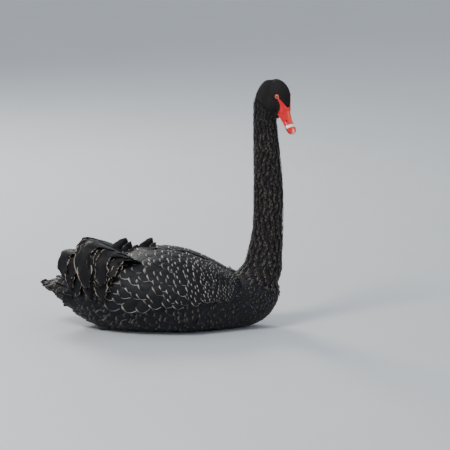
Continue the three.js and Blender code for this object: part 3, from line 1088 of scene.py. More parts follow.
class Scatter:
    """Evenly spaced places on the skin, the same each run."""

    def __init__(self, skin: bpy.types.Object, seed: int = 7) -> None:
        """Keep the skin's triangles.

        Args:
            skin: what the places lie on.
            seed: for all the coats' random draws.
        """
        mesh = skin.data
        mesh.calc_loop_triangles()
        corners = np.empty(len(mesh.loop_triangles) * 3, np.int32)
        mesh.loop_triangles.foreach_get("vertices", corners)
        self.corners = corners.reshape(-1, 3)
        self.places, self.normals = vertex_places(mesh), vertex_places(mesh, "normal")
        a, b, c = (self.places[self.corners[:, i]] for i in range(3))
        self.areas = np.linalg.norm(np.cross(b - a, c - a), axis=1) / 2
        self.rng = np.random.default_rng(seed)

    def spots(self, where: Callable[[Array], Array],
              spacing: Callable[[Array], Array]) -> tuple[Array, Array]:
        """Places no closer than a spacing.

        Args:
            where: tells for many places whether each may hold a feather.
            spacing: the least distance to a neighbour at each place.

        Returns:
            The places and the skin's normals there.
        """
        middles = self.places[self.corners].mean(1)
        allowed = where(middles)
        gaps = spacing(middles)
        chance = np.where(allowed, self.areas / gaps**2, 0)
        count = int(chance.sum() * 5)
        picks = self.rng.choice(len(chance), count, p=chance / chance.sum())
        u, v = self.rng.random((2, count))
        fold = u + v > 1
        u[fold], v[fold] = 1 - u[fold], 1 - v[fold]
        share = np.stack([1 - u - v, u, v], -1)[..., None]
        places = (self.places[self.corners[picks]] * share).sum(1)
        normals = unit((self.normals[self.corners[picks]] * share).sum(1))
        gaps = gaps[picks]
        cell = float(gaps.max())
        keys = np.floor(places / cell).astype(int)
        kept, cells = [], {}
        for i in range(count):
            key, p, gap = tuple(keys[i]), places[i], gaps[i] ** 2
            near = (j for dx in (-1, 0, 1) for dy in (-1, 0, 1) for dz in (-1, 0, 1)
                    for j in cells.get((key[0] + dx, key[1] + dy, key[2] + dz), ()))
            if all((p[0] - q[0]) ** 2 + (p[1] - q[1]) ** 2 + (p[2] - q[2]) ** 2 > gap for q in near):
                cells.setdefault(key, []).append(p.tolist())
                kept.append(i)
        return places[kept], normals[kept]


LORE_TOP = Profile([(-90, 30), (-86, 30.2), (-78, 30), (-68, 28.5), (-57, 26)])
LORE_UNDER = Profile([(-90, 27), (-86, 25.5), (-79, 23), (-72, 19), (-66, 10), (-61, 0), (-56, -4)])


@dataclass
class Coats:
    """The small feathers of neck, body and head; each tuple gives a size at the places before it."""

    scatter: Scatter
    tree: FeatherTree
    disorder: float = 0.16
    neck_heights: tuple[float, ...] = (100, 250, 560)
    neck_gaps: tuple[float, ...] = (4.4, 3.4, 2.8)
    neck_lengths: tuple[float, ...] = (14, 10, 8)
    neck_widths: tuple[float, ...] = (7.0, 4.6, 3.6)
    furrow_depth: float = 1.3
    furrows: int = 17
    body_places: tuple[float, ...] = (-260, -120, 60, 200, 260)
    body_gaps: tuple[float, ...] = (8.5, 11.0, 9.5, 6.2, 5.4)
    body_lengths: tuple[float, ...] = (27, 34, 29, 18, 15)
    body_widths: tuple[float, ...] = (18, 27, 23, 12, 9.5)
    tuft_gap: float = 1.45
    tuft_length: float = 4.4
    tuft_width: float = 1.7

    def on_head(self, p: Array) -> Array:
        """Whether places are on the head, before the slanting crease behind the cheeks."""
        crease = p[:, 2] + 0.924 * p[:, 0] - 769.9 + 0.3 * (p[:, 1] + 27)
        return (p[:, 2] > 520) & (crease > 0)

    def on_neck(self, p: Array) -> Array:
        """Whether places are on the neck."""
        return NECK.above_root(p) & ~self.on_head(p)

    def on_body(self, p: Array) -> Array:
        """Whether places are on breast, belly, flanks or back, clear of the wings and the floor."""
        return ~NECK.above_root(p) & ~self.on_head(p) & (self.under_wing(p) < 0.5) & (p[:, 2] > 1.5)

    def tufted(self, p: Array) -> Array:
        """Whether places are on the head, clear of eyes, bill and the bare strips.

        Args:
            p: the places.

        Returns:
            True or false for each.
        """
        local = HEAD.to_local(p)
        x, z = local[:, 0], local[:, 2]
        bare = (x > -87) & (z > LORE_UNDER(x) - 1) & (z < LORE_TOP(x) + 1)
        folded = np.stack([x, np.abs(local[:, 1]), z], -1)
        clear = np.linalg.norm(folded - [Eye.x, Eye.y, Eye.z], axis=1) > Eye.radius + 0.3
        return self.on_head(p) & ~bare & clear & (x < np.where(z < -4, -53, -58))

    def under_wing(self, p: Array) -> Array:
        """How far places lie inside the folded wings.

        Args:
            p: the places.

        Returns:
            A share from 0 to 1 for each.
        """
        angle = np.arctan2(p[:, 2] - TRUNK.widest(p[:, 0]), np.abs(p[:, 1]))
        inside = smoothstep(0.12, 0.3, angle) * smoothstep(1.45, 1.35, angle)
        return inside * smoothstep(148, 122, p[:, 0]) * smoothstep(-215, -195, p[:, 0])

    def flow(self, p: Array) -> Array:
        """The way feathers lie: from the bill over the head, down the neck and back along the body.

        Args:
            p: the places.

        Returns:
            A vector of length one for each.
        """
        body = np.stack([np.full(len(p), -1.0), np.zeros(len(p)), np.full(len(p), -0.12)], -1)
        down = np.stack([np.full(len(p), -0.05), np.zeros(len(p)), np.full(len(p), -1.0)], -1)
        share = smoothstep(90, 215, p[:, 2] + 0.25 * (p[:, 0] - 200))[:, None]
        front = smoothstep(150, 250, p[:, 0])[:, None]
        way = unit(body * (1 - share * front) + down * share * front)
        back = -HEAD.axes()[0]
        local = HEAD.to_local(p)
        head = smoothstep(-165, -120, local[:, 0])[:, None] * smoothstep(520, 550, p[:, 2])[:, None]
        head = head * self.on_head(p)[:, None]
        return unit(way * (1 - head) + back * head)

    def roots(self, places: Array, normals: Array, length: Array, width: Array, tilt: float,
              tones: tuple[float, float]) -> Roots:
        """Roots with small differences between neighbours.

        Args:
            places: where they are.
            normals: the skin's normals there.
            length: each feather's length.
            width: its width.
            tilt: how far it stands up, in degrees.
            tones: the palest fringe's range.

        Returns:
            The roots.
        """
        rng = self.scatter.rng
        n = len(places)
        flow = self.flow(places) + self.disorder * rng.normal(size=(n, 3))
        size = rng.uniform(0.85, 1.15, n)
        return Roots(places, normals, flow, length * size, width * size, rng.uniform(*tones, n),
                     np.radians(tilt * rng.uniform(0.6, 1.4, n)))

    def neck(self, finish: bpy.types.Material) -> bpy.types.Object:
        """Short furrowed feathers down the neck.

        Args:
            finish: their material.

        Returns:
            The piece.
        """
        places, normals = self.scatter.spots(
            self.on_neck, lambda p: np.interp(p[:, 2], self.neck_heights, self.neck_gaps))
        height = places[:, 2]
        angle = np.arctan2(places[:, 1], places[:, 0] - 236)
        # The furrows wander aside over 120 mm and over 46 mm of height.
        wander = 2.2 * np.sin(height / 19) + 1.4 * np.sin(height / 7.3)
        furrow = np.sin(angle * self.furrows + wander)
        length = np.interp(height, self.neck_heights, self.neck_lengths)
        width = np.interp(height, self.neck_heights, self.neck_widths)
        places = places + normals * (self.furrow_depth * furrow)[:, None]
        roots = self.roots(places, normals, length, width, 7, (0.05, 1.0))
        # The pale tips are the feathers' own brownish colour, but only the furrows' crests carry them in
        # full, a painted highlight there and painted shade in the troughs; they fade below the head.
        roots.tone *= (0.1 + 0.9 * smoothstep(-0.5, 0.8, furrow)) * np.interp(height, [480, 560], [1, 0.5])
        roots.tilt *= (1 + 0.5 * furrow) * np.interp(height, [440, 550], [1, 0.3])
        return self.tree.coat("neck_feathers", roots, Vane("neck_vane", 4, 3, 0.35, 0.10).build(), finish)

    def body(self, finish: bpy.types.Material) -> bpy.types.Object:
        """Rounded feathers on breast, belly, flanks and back.

        Args:
            finish: their material.

        Returns:
            The piece.
        """
        places, normals = self.scatter.spots(
            self.on_body, lambda p: np.interp(p[:, 0], self.body_places, self.body_gaps))
        length = np.interp(places[:, 0], self.body_places, self.body_lengths)
        width = np.interp(places[:, 0], self.body_places, self.body_widths)
        roots = self.roots(places, normals, length, width, 8, (0.15, 0.85))
        roots.tilt *= smoothstep(2, 30, places[:, 2]) * np.interp(places[:, 0], [150, 255], [1, 0.4])
        return self.tree.coat("body_feathers", roots, Vane("body_vane", 6, 5, 0.30, 0.06).build(), finish)

    def head(self, finish: bpy.types.Material) -> bpy.types.Object:
        """Velvety tufts on the head.

        Args:
            finish: their material.

        Returns:
            The piece.
        """
        places, normals = self.scatter.spots(self.tufted, lambda p: np.full(len(p), self.tuft_gap))
        length, width = np.full(len(places), self.tuft_length), np.full(len(places), self.tuft_width)
        roots = self.roots(places, normals, length, width, 4, (0.1, 0.7))
        return self.tree.coat("head_feathers", roots, Vane("head_vane", 3, 3, 0.3, 0.05).build(), finish)


@dataclass
class LongVane:
    """A large feather drawn along its own shaft, its edges ruffled and ragged."""

    shaft: Array
    across: Array
    width: float
    seed: int
    tone: float
    rows: int
    columns: int
    ruffle: float = 0.4
    ragged: float = 0.05
    bow: float = 0.12
    square: float = 3.0
    tip_pale: float = 1.0
    pointed: bool = False
    out: Place = (0.0, 0.0, 1.0)

    def points(self) -> tuple[Array, Array, Array, Array]:
        """The sheet's points with their numbers.

        Returns:
            Points, edge numbers, tip numbers and flat places from 0 to 1.
        """
        rng = np.random.default_rng(self.seed)
        t = np.sin(np.linspace(0, math.pi / 2, self.rows)) ** 1.2
        s = np.linspace(-1, 1, self.columns)
        line = bezier(np.broadcast_to(self.shaft, (self.rows, 4, 3)), t)
        along = unit(np.gradient(line, axis=0))
        side = unit(self.across - (self.across * along).sum(-1, keepdims=True) * along)
        if np.cross(side, along)[self.rows // 3:].mean(0) @ np.array(self.out) < 0:
            side = -side
        face = np.cross(side, along)
        # The outline narrows to the root and is blunt or pointed at the tip.
        half = self.width / 2 * (1 - np.abs(2 * np.clip(t, 0.18, 1) - 1) ** self.square) ** 0.5
        if self.pointed:
            half = self.width / 2 * (1 - t**2.2) ** 0.65
        half = np.maximum(half, 0.02 * self.width)
        phase = rng.uniform(0, 6.28, 4)
        tt, ss = np.meshgrid(t, s, indexing="ij")
        wave = np.sin(tt * 11 + phase[0] + 0.9 * np.sign(ss)) + 0.6 * np.sin(tt * 23 + phase[1])
        nibble = 1 - self.ragged * np.abs(ss) * rng.random((self.rows, self.columns))
        ruffles = self.ruffle * wave * ss**2 * smoothstep(0.2, 0.8, tt)
        lift = ruffles + self.bow * self.width * (0.5 - ss**2) * 0.5
        points = (line[:, None] + side[:, None] * (half[:, None] * ss * nibble)[..., None]
                  + face[:, None] * lift[..., None])
        flat = np.stack([0.5 + 0.5 * ss, tt], -1)
        return points.reshape(-1, 3), np.abs(ss).ravel(), (tt * self.tip_pale).ravel(), flat.reshape(-1, 2)


def long_feathers(name: str, vanes: list[LongVane], patch: float) -> bpy.types.Object:
    """Join large feathers into one piece.

    Args:
        name: the piece's name.
        vanes: the feathers.
        patch: the size of a feather's patch on the map.

    Returns:
        The piece, with its numbers and map.
    """
    sheets = [vane.points() for vane in vanes]
    forms = [(sheet[0], grid_faces(vane.rows, vane.columns)) for vane, sheet in zip(vanes, sheets)]
    piece = mesh_object(name, *joined(forms))
    store(piece.data, "edge", np.concatenate([sheet[1] for sheet in sheets]))
    store(piece.data, "tip", np.concatenate([sheet[2] for sheet in sheets]))
    store(piece.data, "tone", np.concatenate([
        np.full(len(sheet[0]), vane.tone) for vane, sheet in zip(vanes, sheets)]))
    spots = np.concatenate([chart(sheet[0][:1]) + (sheet[3] - 0.5) * patch for sheet in sheets])
    store_uv(piece.data, "OFBake", spots[corner_vertices(piece.data)])
    keep_above(piece, COAT_FLOOR)
    return piece


@dataclass
class Wing:
    """A folded wing: coverts in rows, curled inner feathers, crests and white flight feathers."""

    side: Side
    depth: float = 8.0
    left_drop: float = 20.0
    shoulder: float = 172.0
    rear: float = -118.0
    lower_edge: float = 0.15
    ridge: float = 1.54
    radius: float = 118.0
    covert_places: tuple[float, ...] = (-118, -60, 20, 90, 172)
    covert_sizes: tuple[float, ...] = (56, 50, 37, 25, 15)

    def hand(self, points: list[list[float]], drop: float = 0.0) -> Array:
        """Control points for this side.

        Args:
            points: the left side's four.
            drop: how far the middle two are lowered.

        Returns:
            The points, shaped (4, 3).
        """
        made = np.array(points, float)
        made[:, 1] *= self.side.value
        made[1:3, 2] -= drop
        return made

    def surface(self, x: Array, rise: Array, lift: float) -> Array:
        """Points over the wing.

        Args:
            x: places along the body.
            rise: angles up from its widest line.
            lift: how far they stand off the wing.

        Returns:
            The points, shaped (..., 3).
        """
        angle = rise if self.side is Side.LEFT else math.pi - rise
        reach = np.clip(np.sin(math.pi * np.clip((x + 205) / 373, 0.02, 0.98)), 0, 1) ** 0.4
        return TRUNK.point(x, angle, self.depth * reach + lift)

    def coverts(self) -> list[LongVane]:
        """Scaled rows from the shoulder to the rear, growing as they go.

        Returns:
            The feathers.
        """
        vanes, x, column = [], self.shoulder, 0
        rng = np.random.default_rng(11 if self.side is Side.LEFT else 5)
        span = self.ridge - self.lower_edge
        while x > self.rear:
            size = float(np.interp(x, self.covert_places, self.covert_sizes))
            arc = span * float(np.interp(x, [self.rear, 20, self.shoulder], [112, 118, 76]))
            count = max(int(arc / (0.46 * size)), 4)
            for i in range(count):
                share = (i + (0.5 if column % 2 else 0.0)) / count
                rise = self.lower_edge + span * share + rng.normal() * 0.0006 * size
                sweep = 14 * (2 * share - 1) ** 2 * float(smoothstep(60, self.shoulder, x))
                vanes.append(self.covert(x + rng.normal() * 0.13 * size - sweep, rise, size, share, rng))
            x -= 0.34 * size
            column += 1
        return vanes

    def covert(self, x: float, rise: float, size: float, share: float,
               rng: np.random.Generator) -> LongVane:
        """One covert, rooted forward of its tip.

        Args:
            x: the root's place along the body.
            rise: its angle up from the widest line.
            size: the feather's length.
            share: 0 at the wing's lower edge, 1 at the ridge.
            rng: the source of small differences.

        Returns:
            The feather.
        """
        slope = math.radians(float(np.interp(share, [0, 0.35, 0.8, 1], [30, 18, 8, 2])) + rng.normal() * 6)
        steps = np.array([0, 0.33, 0.66, 1.0])
        xs = x - size * math.cos(slope) * steps
        rises = rise - size * math.sin(slope) * steps / self.radius
        lifts = np.array([-1.5, 1.2, 2.6, 3.4]) * (0.55 + 0.011 * size)
        shaft = np.array([self.surface(*point) for point in zip(xs, rises, lifts)])
        across = self.side.value * (self.surface(x, rise + 0.05, 0.0) - self.surface(x, rise - 0.05, 0.0))
        rows, columns = (11, 9) if size > 24 else (8, 5)
        width, seed = size * rng.uniform(0.84, 0.98), int(rng.integers(1 << 30))
        tone = float(rng.uniform(0.3, 1.0) * np.interp(x, [90, 165], [1.0, 0.6]))
        return LongVane(shaft, across, width, seed, tone, rows, columns, ruffle=0.3, bow=0.20, square=2.4,
                        out=(0.0, self.side.value, 0.6))

    def curtain(self, first: list, last: list, count: int, layers: int, width: float, ruffle: float,
                seed: int) -> list[LongVane]:
        """Long feathers side by side between two shafts.

        Args:
            first: the foremost shaft's four control points.
            last: the rearmost shaft's.
            count: feathers in a layer.
            layers: how many layers lie over each other.
            width: a feather's width.
            ruffle: how far its edges wave.
            seed: for the small differences.

        Returns:
            The feathers.
        """
        rng = np.random.default_rng(seed)
        drop = self.left_drop if self.side is Side.LEFT else 0.0
        a, b = self.hand(first, drop), self.hand(last, drop)
        vanes = []
        for layer in range(layers):
            for i in range(count):
                share = 0.10 + 0.76 * (i + 0.5 * (layer % 2)) / (count - 0.5)
                shaft = a + (b - a) * share + rng.normal(size=(4, 3)) * [2.5, 1.5, 2.5]
                shaft[1:, 1] += self.side.value * np.array([6, 9, 7]) * math.sin(share * 15 + seed)
                shaft[1:3, 2] -= 6 - 2 * layer
                shaft[3, 2] += 20 * layer + rng.uniform(-9, 9)
                shaft[:, 1] += self.side.value * 2.5 * layer
                size, vane_seed = width * rng.uniform(0.85, 1.15), int(rng.integers(1 << 30))
                vanes.append(LongVane(shaft, b.mean(0) - a.mean(0), size, vane_seed, 1.0, 34, 13,
                                      ruffle=ruffle, ragged=0.3, bow=0.14, square=9.0, tip_pale=0.86,
                                      out=(0.0, self.side.value, 0.5)))
        return vanes

    def inner(self) -> list[LongVane]:
        """The curled inner flight feathers that arch up and hang over wing and tail.

        Returns:
            The feathers.
        """
        vanes = self.curtain(
            [[-50, 72, 150], [-96, 66, 200], [-128, 92, 196], [-134, 108, 102]],
            [[-96, 24, 172], [-184, 28, 238], [-262, 54, 280], [-214, 88, 84]], 6, 3, 40, 5.5, 21)
        vanes += self.curtain(
            [[-150, 40, 150], [-190, 44, 200], [-226, 54, 206], [-222, 66, 96]],
            [[-160, 5, 150], [-214, 6, 208], [-300, 8, 226], [-266, 20, 112]], 5, 2, 38, 3.5, 33)
        return vanes

    def crests(self) -> list[LongVane]:
        """Curled feathers that stand up along the left wing's ridge.

        Returns:
            The feathers; none on the right.
        """
        if self.side is Side.RIGHT:
            return []
        shafts = (
            ([[-146, 36, 160], [-128, 40, 176], [-116, 42, 196], [-108, 46, 212]], 50),
            ([[-116, 30, 160], [-108, 32, 178], [-104, 34, 190], [-96, 38, 205]], 34),
            ([[-100, 26, 160], [-94, 30, 174], [-88, 34, 184], [-80, 38, 197]], 30),
            ([[-84, 34, 158], [-66, 38, 176], [-54, 40, 196], [-44, 44, 213]], 44),
            ([[-62, 28, 158], [-52, 30, 176], [-44, 34, 188], [-36, 38, 203]], 28),
        )
        return [LongVane(self.hand(points), np.array([1, 0.25, 0]), width, 50 + i, 0.8, 18, 9, ruffle=2.5,
                         ragged=0.1, bow=0.25, square=2.2, tip_pale=0.8, pointed=True, out=(0.0, -1.0, 0.2))
                for i, (points, width) in enumerate(shafts)]

    def primaries(self) -> list[LongVane]:
        """White flight feathers under the inner ones.

        Returns:
            The feathers.
        """
        vanes = []
        for i in range(4):
            shift = np.array([2.0 * i, (3.0 * i - 4) * self.side.value, 2.5 * i - 3])
            shaft = self.hand([[-150, 44, 165], [-190, 36, 163], [-224, 26, 155], [-258, 14, 125]]) + shift
            vanes.append(LongVane(shaft, np.array([0, 1, 0]), 16, 70 + i, 0.3, 18, 7, ruffle=0.3, ragged=0.03,
                                  bow=0.1))
        return vanes

    def dress(self, coverts: bpy.types.Material, inner: bpy.types.Material,
              white: bpy.types.Material) -> None:
        """Build all the wing's pieces.

        Args:
            coverts: the coverts' material.
            inner: the inner feathers'.
            white: the white flight feathers'.
        """
        word = self.side.name.lower()
        finish_piece(long_feathers(f"coverts_{word}", self.coverts(), 0.008), coverts)
        curled = self.inner() + self.crests()
        finish_piece(long_feathers(f"inner_feathers_{word}", curled, 0.03), inner)
        finish_piece(long_feathers(f"primaries_{word}_white", self.primaries(), 0.01), white,
                     [f"primaries_{word}"])


@dataclass
class Tail:
    """A short pointed tail: a fan of narrow feathers above, coverts below."""

    count: int = 9
    tiers: int = 4
    width: float = 17
    root_x: float = -222
    root_z: float = 132
    half_spread: float = 34
    length: float = 92
    tier_step: float = 17
    cover_x: float = -206
    cover_z: float = 52
    cover_spread: float = 40

    def build(self, finish: bpy.types.Material) -> None:
        """Make the fan, whose upper tiers are shorter, and the coverts below it.

        Args:
            finish: the feathers' material.
        """
        above, below = [], []
        for tier in range(self.tiers):
            for i in range(self.count):
                fan = (i - (self.count - 1) / 2) / ((self.count - 1) / 2)
                aside = self.half_spread * fan
                length = (self.length - self.tier_step * tier) * (1 - 0.42 * abs(fan) ** 1.6)
                start = np.array([self.root_x, 0.8 * aside, self.root_z - 26 * fan**2 - 3 * tier])
                run = np.array([-length, 0.35 * aside, -22 + 2.4 * tier + 6 * abs(fan)])
                shaft = start + run * np.arange(4)[:, None] / 3 + np.array([0, 3, 3, 0])[:, None] * [0, 0, 1]
                above.append(LongVane(shaft, np.array([0, 1, 0.9 * -fan]), self.width, 100 + 10 * tier + i,
                                      0.8, 12, 5, square=3.5))
                start = np.array([self.cover_x - 14 * tier, self.cover_spread * fan,
                                  self.cover_z + 9 * tier + 22 * fan**2])
                shaft = start + np.array([-34, -6 * fan, 17]) * np.arange(4)[:, None] / 3
                below.append(LongVane(shaft, np.array([0, 1, 0.8 * fan]), self.width, 200 + 10 * tier + i,
                                      0.7, 8, 5, out=(0.0, 0.0, -1.0)))
        finish_piece(long_feathers("tail_feathers", above + below, 0.008), finish)


# Bill, eyes and legs


@dataclass
class Bill:
    """The two halves of the bill and the bare strips that join it to the eyes."""

    base: float = -60
    overlap: float = 6
    nostril: float = -33
    nostril_size: tuple[float, float] = (4.5, 1.5)
    nostril_depth: float = 1.8
    nail_half: float = 5.5
    nail_height: float = 0.55
    ridge_half: float = 3.6
    ridge_bend: float = 1.7
    side_bend: float = 2.6
    culmen: Profile = Profile([
        (-60, 26.5), (-50, 20.5), (-40, 15.8), (-30, 12.2), (-20, 9.6), (-10, 8), (-3, 5.2), (0, 1.5)])
    tomium: Profile = Profile([(-60, 0), (-30, 0), (-8, -0.6), (0, -2.5)])
    lower: Profile = Profile([
        (-60, -7.2), (-40, -6.4), (-20, -5.4), (-6, -4.8), (-3, -4.2)])
    half_width: Profile = Profile([
        (-60, 14.4), (-45, 13), (-32, 12.6), (-18, 13.7), (-9, 12.4), (-3, 8.2), (0, 1.5)])

    def upper(self, finish: bpy.types.Material) -> None:
        """The upper half, with nostrils and nail, and the strips to the eyes.

        Args:
            finish: the horn.
        """
        around = 96
        angle = full_turn(around)
        up = np.sin(angle)
        rings, ridges, edges, nostril_shade = [], [], [], []
        for x in (self.base - self.overlap) * (1 - crowded(110)):
            top, under, half = (float(curve(x)) for curve in (self.culmen, self.tomium, self.half_width))
            middle = min(under + 1.5, (top + under) / 2)
            y = half * np.where(up > 0, squared(np.cos(angle), self.ridge_bend),
                                squared(np.cos(angle), self.side_bend))
            z = middle + np.where(up > 0, top - middle, middle - under) * up
            behind, (long, high) = x - self.nostril, self.nostril_size
            above = z - (8.5 + 0.05 * behind)
            nostril = np.exp(-((behind / long) ** 2) - (above / high) ** 2) * (up > 0)
            y = y - np.sign(y) * self.nostril_depth * nostril
            nail = smoothstep(-9.5, -8.3, x) * np.exp(-((y / self.nail_half) ** 4)) * (up > 0)
            z = z + self.nail_height * nail
            rings.append(HEAD.to_world(np.stack([np.full(around, x), y, z], -1)))
            ridges.append(np.exp(-((y / self.ridge_half) ** 2)) * (up > 0))
            edges.append(np.clip((z - under) / max(top - under, 0.1), 0, 1) * (up > -0.2))
            # Where the painted shade in the nostril goes.
            nostril_shade.append(smoothstep(0.25, 0.7, nostril))
        horn = tube(rings, rings[0].mean(0), HEAD.to_world(np.array([0.3, 0, -1.0])))
        points, faces = joined([horn, *(self.strip(side) for side in Side)])
        bare = np.zeros(len(points) - len(horn[0]))
        self.finish_half("bill_upper", points, faces, finish, {
            "ridge": np.concatenate([*ridges, [0.0, 1.0], bare]),
            "edge": np.concatenate([*edges, [0.5, 0.5], bare + 0.5]),
            "nostril": np.concatenate([*nostril_shade, [0.0, 0.0], bare])})

    def finish_half(self, node: str, points: Array, faces: Faces,
                    finish: bpy.types.Material, numbers: dict[str, Array]) -> None:
        """Make one half of the bill, mapped round its length.

        Args:
            node: the CAD node that it stands for.
            points: its points, in the bird's frame.
            faces: its faces.
            finish: the horn.
            numbers: what the material reads at each point, apart from its place along the bill.
        """
        piece = mesh_object(f"{node}_horn", points, faces)
        local = HEAD.to_local(points)
        for name, values in numbers.items():
            store(piece.data, name, values)
        store(piece.data, "along", local[:, 0])
        spots = np.stack([turned(local[:, 2] - 2, local[:, 1]), (local[:, 0] + 92) / 93], -1)
        store_round(piece.data, 0.02 + 0.9 * spots, 0.9)
        outward(piece)
        finish_piece(piece, finish, [node])

    def strip(self, side: Side) -> Form:
        """Bare skin on one side of the face, as a thin rim-edged sheet lying on the head.

        Args:
            side: which side.

        Returns:
            The sheet's points and faces.
        """
        rows, columns = 26, 12
        xs = np.linspace(-88.5, -54, rows)
        shares = np.linspace(0, 1, columns)
        low, high = LORE_UNDER(xs), LORE_TOP(xs)
        z = low[:, None] + (high - low)[:, None] * shares
        x = np.broadcast_to(xs[:, None], z.shape)
        rim = np.minimum(np.minimum(shares, 1 - shares)[None, :] * 7, 1) ** 0.5
        rim = rim * smoothstep(-89, -85, xs)[:, None]
        y = HEAD.side_at(x, z) - 1.6 + 1.9 * rim
        sheet = HEAD.to_world(np.stack([x, side.value * y, z], -1).reshape(-1, 3))
        return sheet, grid_faces(rows, columns)

    def under(self, finish: bpy.types.Material) -> None:
        """The lower half.

        Args:
            finish: the horn.
        """
        around = 40
        angle = full_turn(around)
        rings = []
        for x in (self.base - 5) + (2 - self.base) * crowded(40):
            top, under = float(self.tomium(x)) - 0.4, float(self.lower(x))
            y = (float(self.half_width(x)) - 1.4) * squared(np.cos(angle), self.side_bend)
            z = (top + under) / 2 + (top - under) / 2 * np.sin(angle)
            rings.append(HEAD.to_world(np.stack([np.full(around, x), y, z], -1)))
        points, faces = tube(rings, rings[0].mean(0), rings[-1].mean(0))
        self.finish_half("bill_lower", points, faces, finish, {
            name: np.zeros(len(points)) for name in ("ridge", "edge", "nostril")})


@dataclass
class Eye:
    """An eye with its lids' rim."""

    side: Side
    x: float = -94.0
    y: float = 18.0
    z: float = 28.0
    radius: float = 6.0
    lid_thickness: float = 0.75
    forward: float = 0.27
    upward: float = 0.62

    def look(self) -> tuple[Array, Array, Array, Array]:
        """How the eye lies in the head's frame.

        Returns:
            Its middle, the way it looks and the two directions across that.
        """
        centre = np.array([self.x, self.side.value * self.y, self.z])
        way = unit(np.array([self.forward, self.side.value, self.upward]))
        first = unit(np.cross(way, [0, 0, 1]))
        return centre, way, first, np.cross(way, first)

    def build(self, iris: bpy.types.Material, rim: bpy.types.Material) -> None:
        """Make the ball and the rim of the lids.

        Args:
            iris: the ball's material.
            rim: the lids'.
        """
        centre, way, first, second = self.look()
        around, along = 40, 24
        angle = full_turn(around)[:, None]
        rings, polar = [], []
        for turn in math.pi * np.arange(1, along) / along:
            bulge = self.radius * (1 + 0.05 * math.exp(-((turn / 0.45) ** 2)))
            ring = centre + bulge * (math.cos(turn) * way + math.sin(turn) * (
                np.cos(angle) * first + np.sin(angle) * second))
            rings.append(HEAD.to_world(ring))
            polar.append(np.full(around, turn / (math.pi / 2)))
        points, faces = tube(rings, HEAD.to_world(centre + way * self.radius * 1.05),
                             HEAD.to_world(centre - way * self.radius))
        word = self.side.name.lower()
        eyeball = mesh_object(f"eyeball_{word}", points, faces)
        store(eyeball.data, "polar", np.concatenate([*polar, [0.0, 2.0]]))
        lids = mesh_object(f"eyelids_{word}", *self.lids())
        for piece, finish, nodes in ((eyeball, iris, [f"eye_{word}"]), (lids, rim, None)):
            outward(piece)
            self.map_round(piece)
            finish_piece(piece, finish, nodes)

    def lids(self) -> Form:
        """A soft raised ring round the eye, drawn out to a point at the front.

        Returns:
            Its points and faces.
        """
        centre, way, first, second = self.look()
        around, section = 56, 12
        angle = full_turn(around)
        front = np.clip(np.sign(first[0]) * np.cos(angle), 0, 1) ** 6
        points = []
        for a, f in zip(angle, front):
            radial = math.cos(a) * first + math.sin(a) * second
            middle = centre + self.radius * ((0.72 + 0.36 * f) * radial + (0.70 - 0.16 * f) * way)
            points += [middle + self.lid_thickness * (math.cos(b) * radial + math.sin(b) * way)
                       for b in full_turn(section)]
        faces = [(i * section + j, ((i + 1) % around) * section + j,
                  ((i + 1) % around) * section + (j + 1) % section, i * section + (j + 1) % section)
                 for i in range(around) for j in range(section)]
        return HEAD.to_world(np.array(points)), faces

    def map_round(self, piece: bpy.types.Object) -> None:
        """Map a piece of the eye as seen along its look, front and back side by side.

        Args:
            piece: its object.
        """
        centre, way, first, second = self.look()
        local = HEAD.to_local(vertex_places(piece.data)) - centre
        spots = np.stack([local @ first, local @ second], -1) / (self.radius * 6) + [0.25, 0.5]
        spots[local @ way < 0, 0] += 0.5
        store_uv(piece.data, "OFBake", spots[corner_vertices(piece.data)])


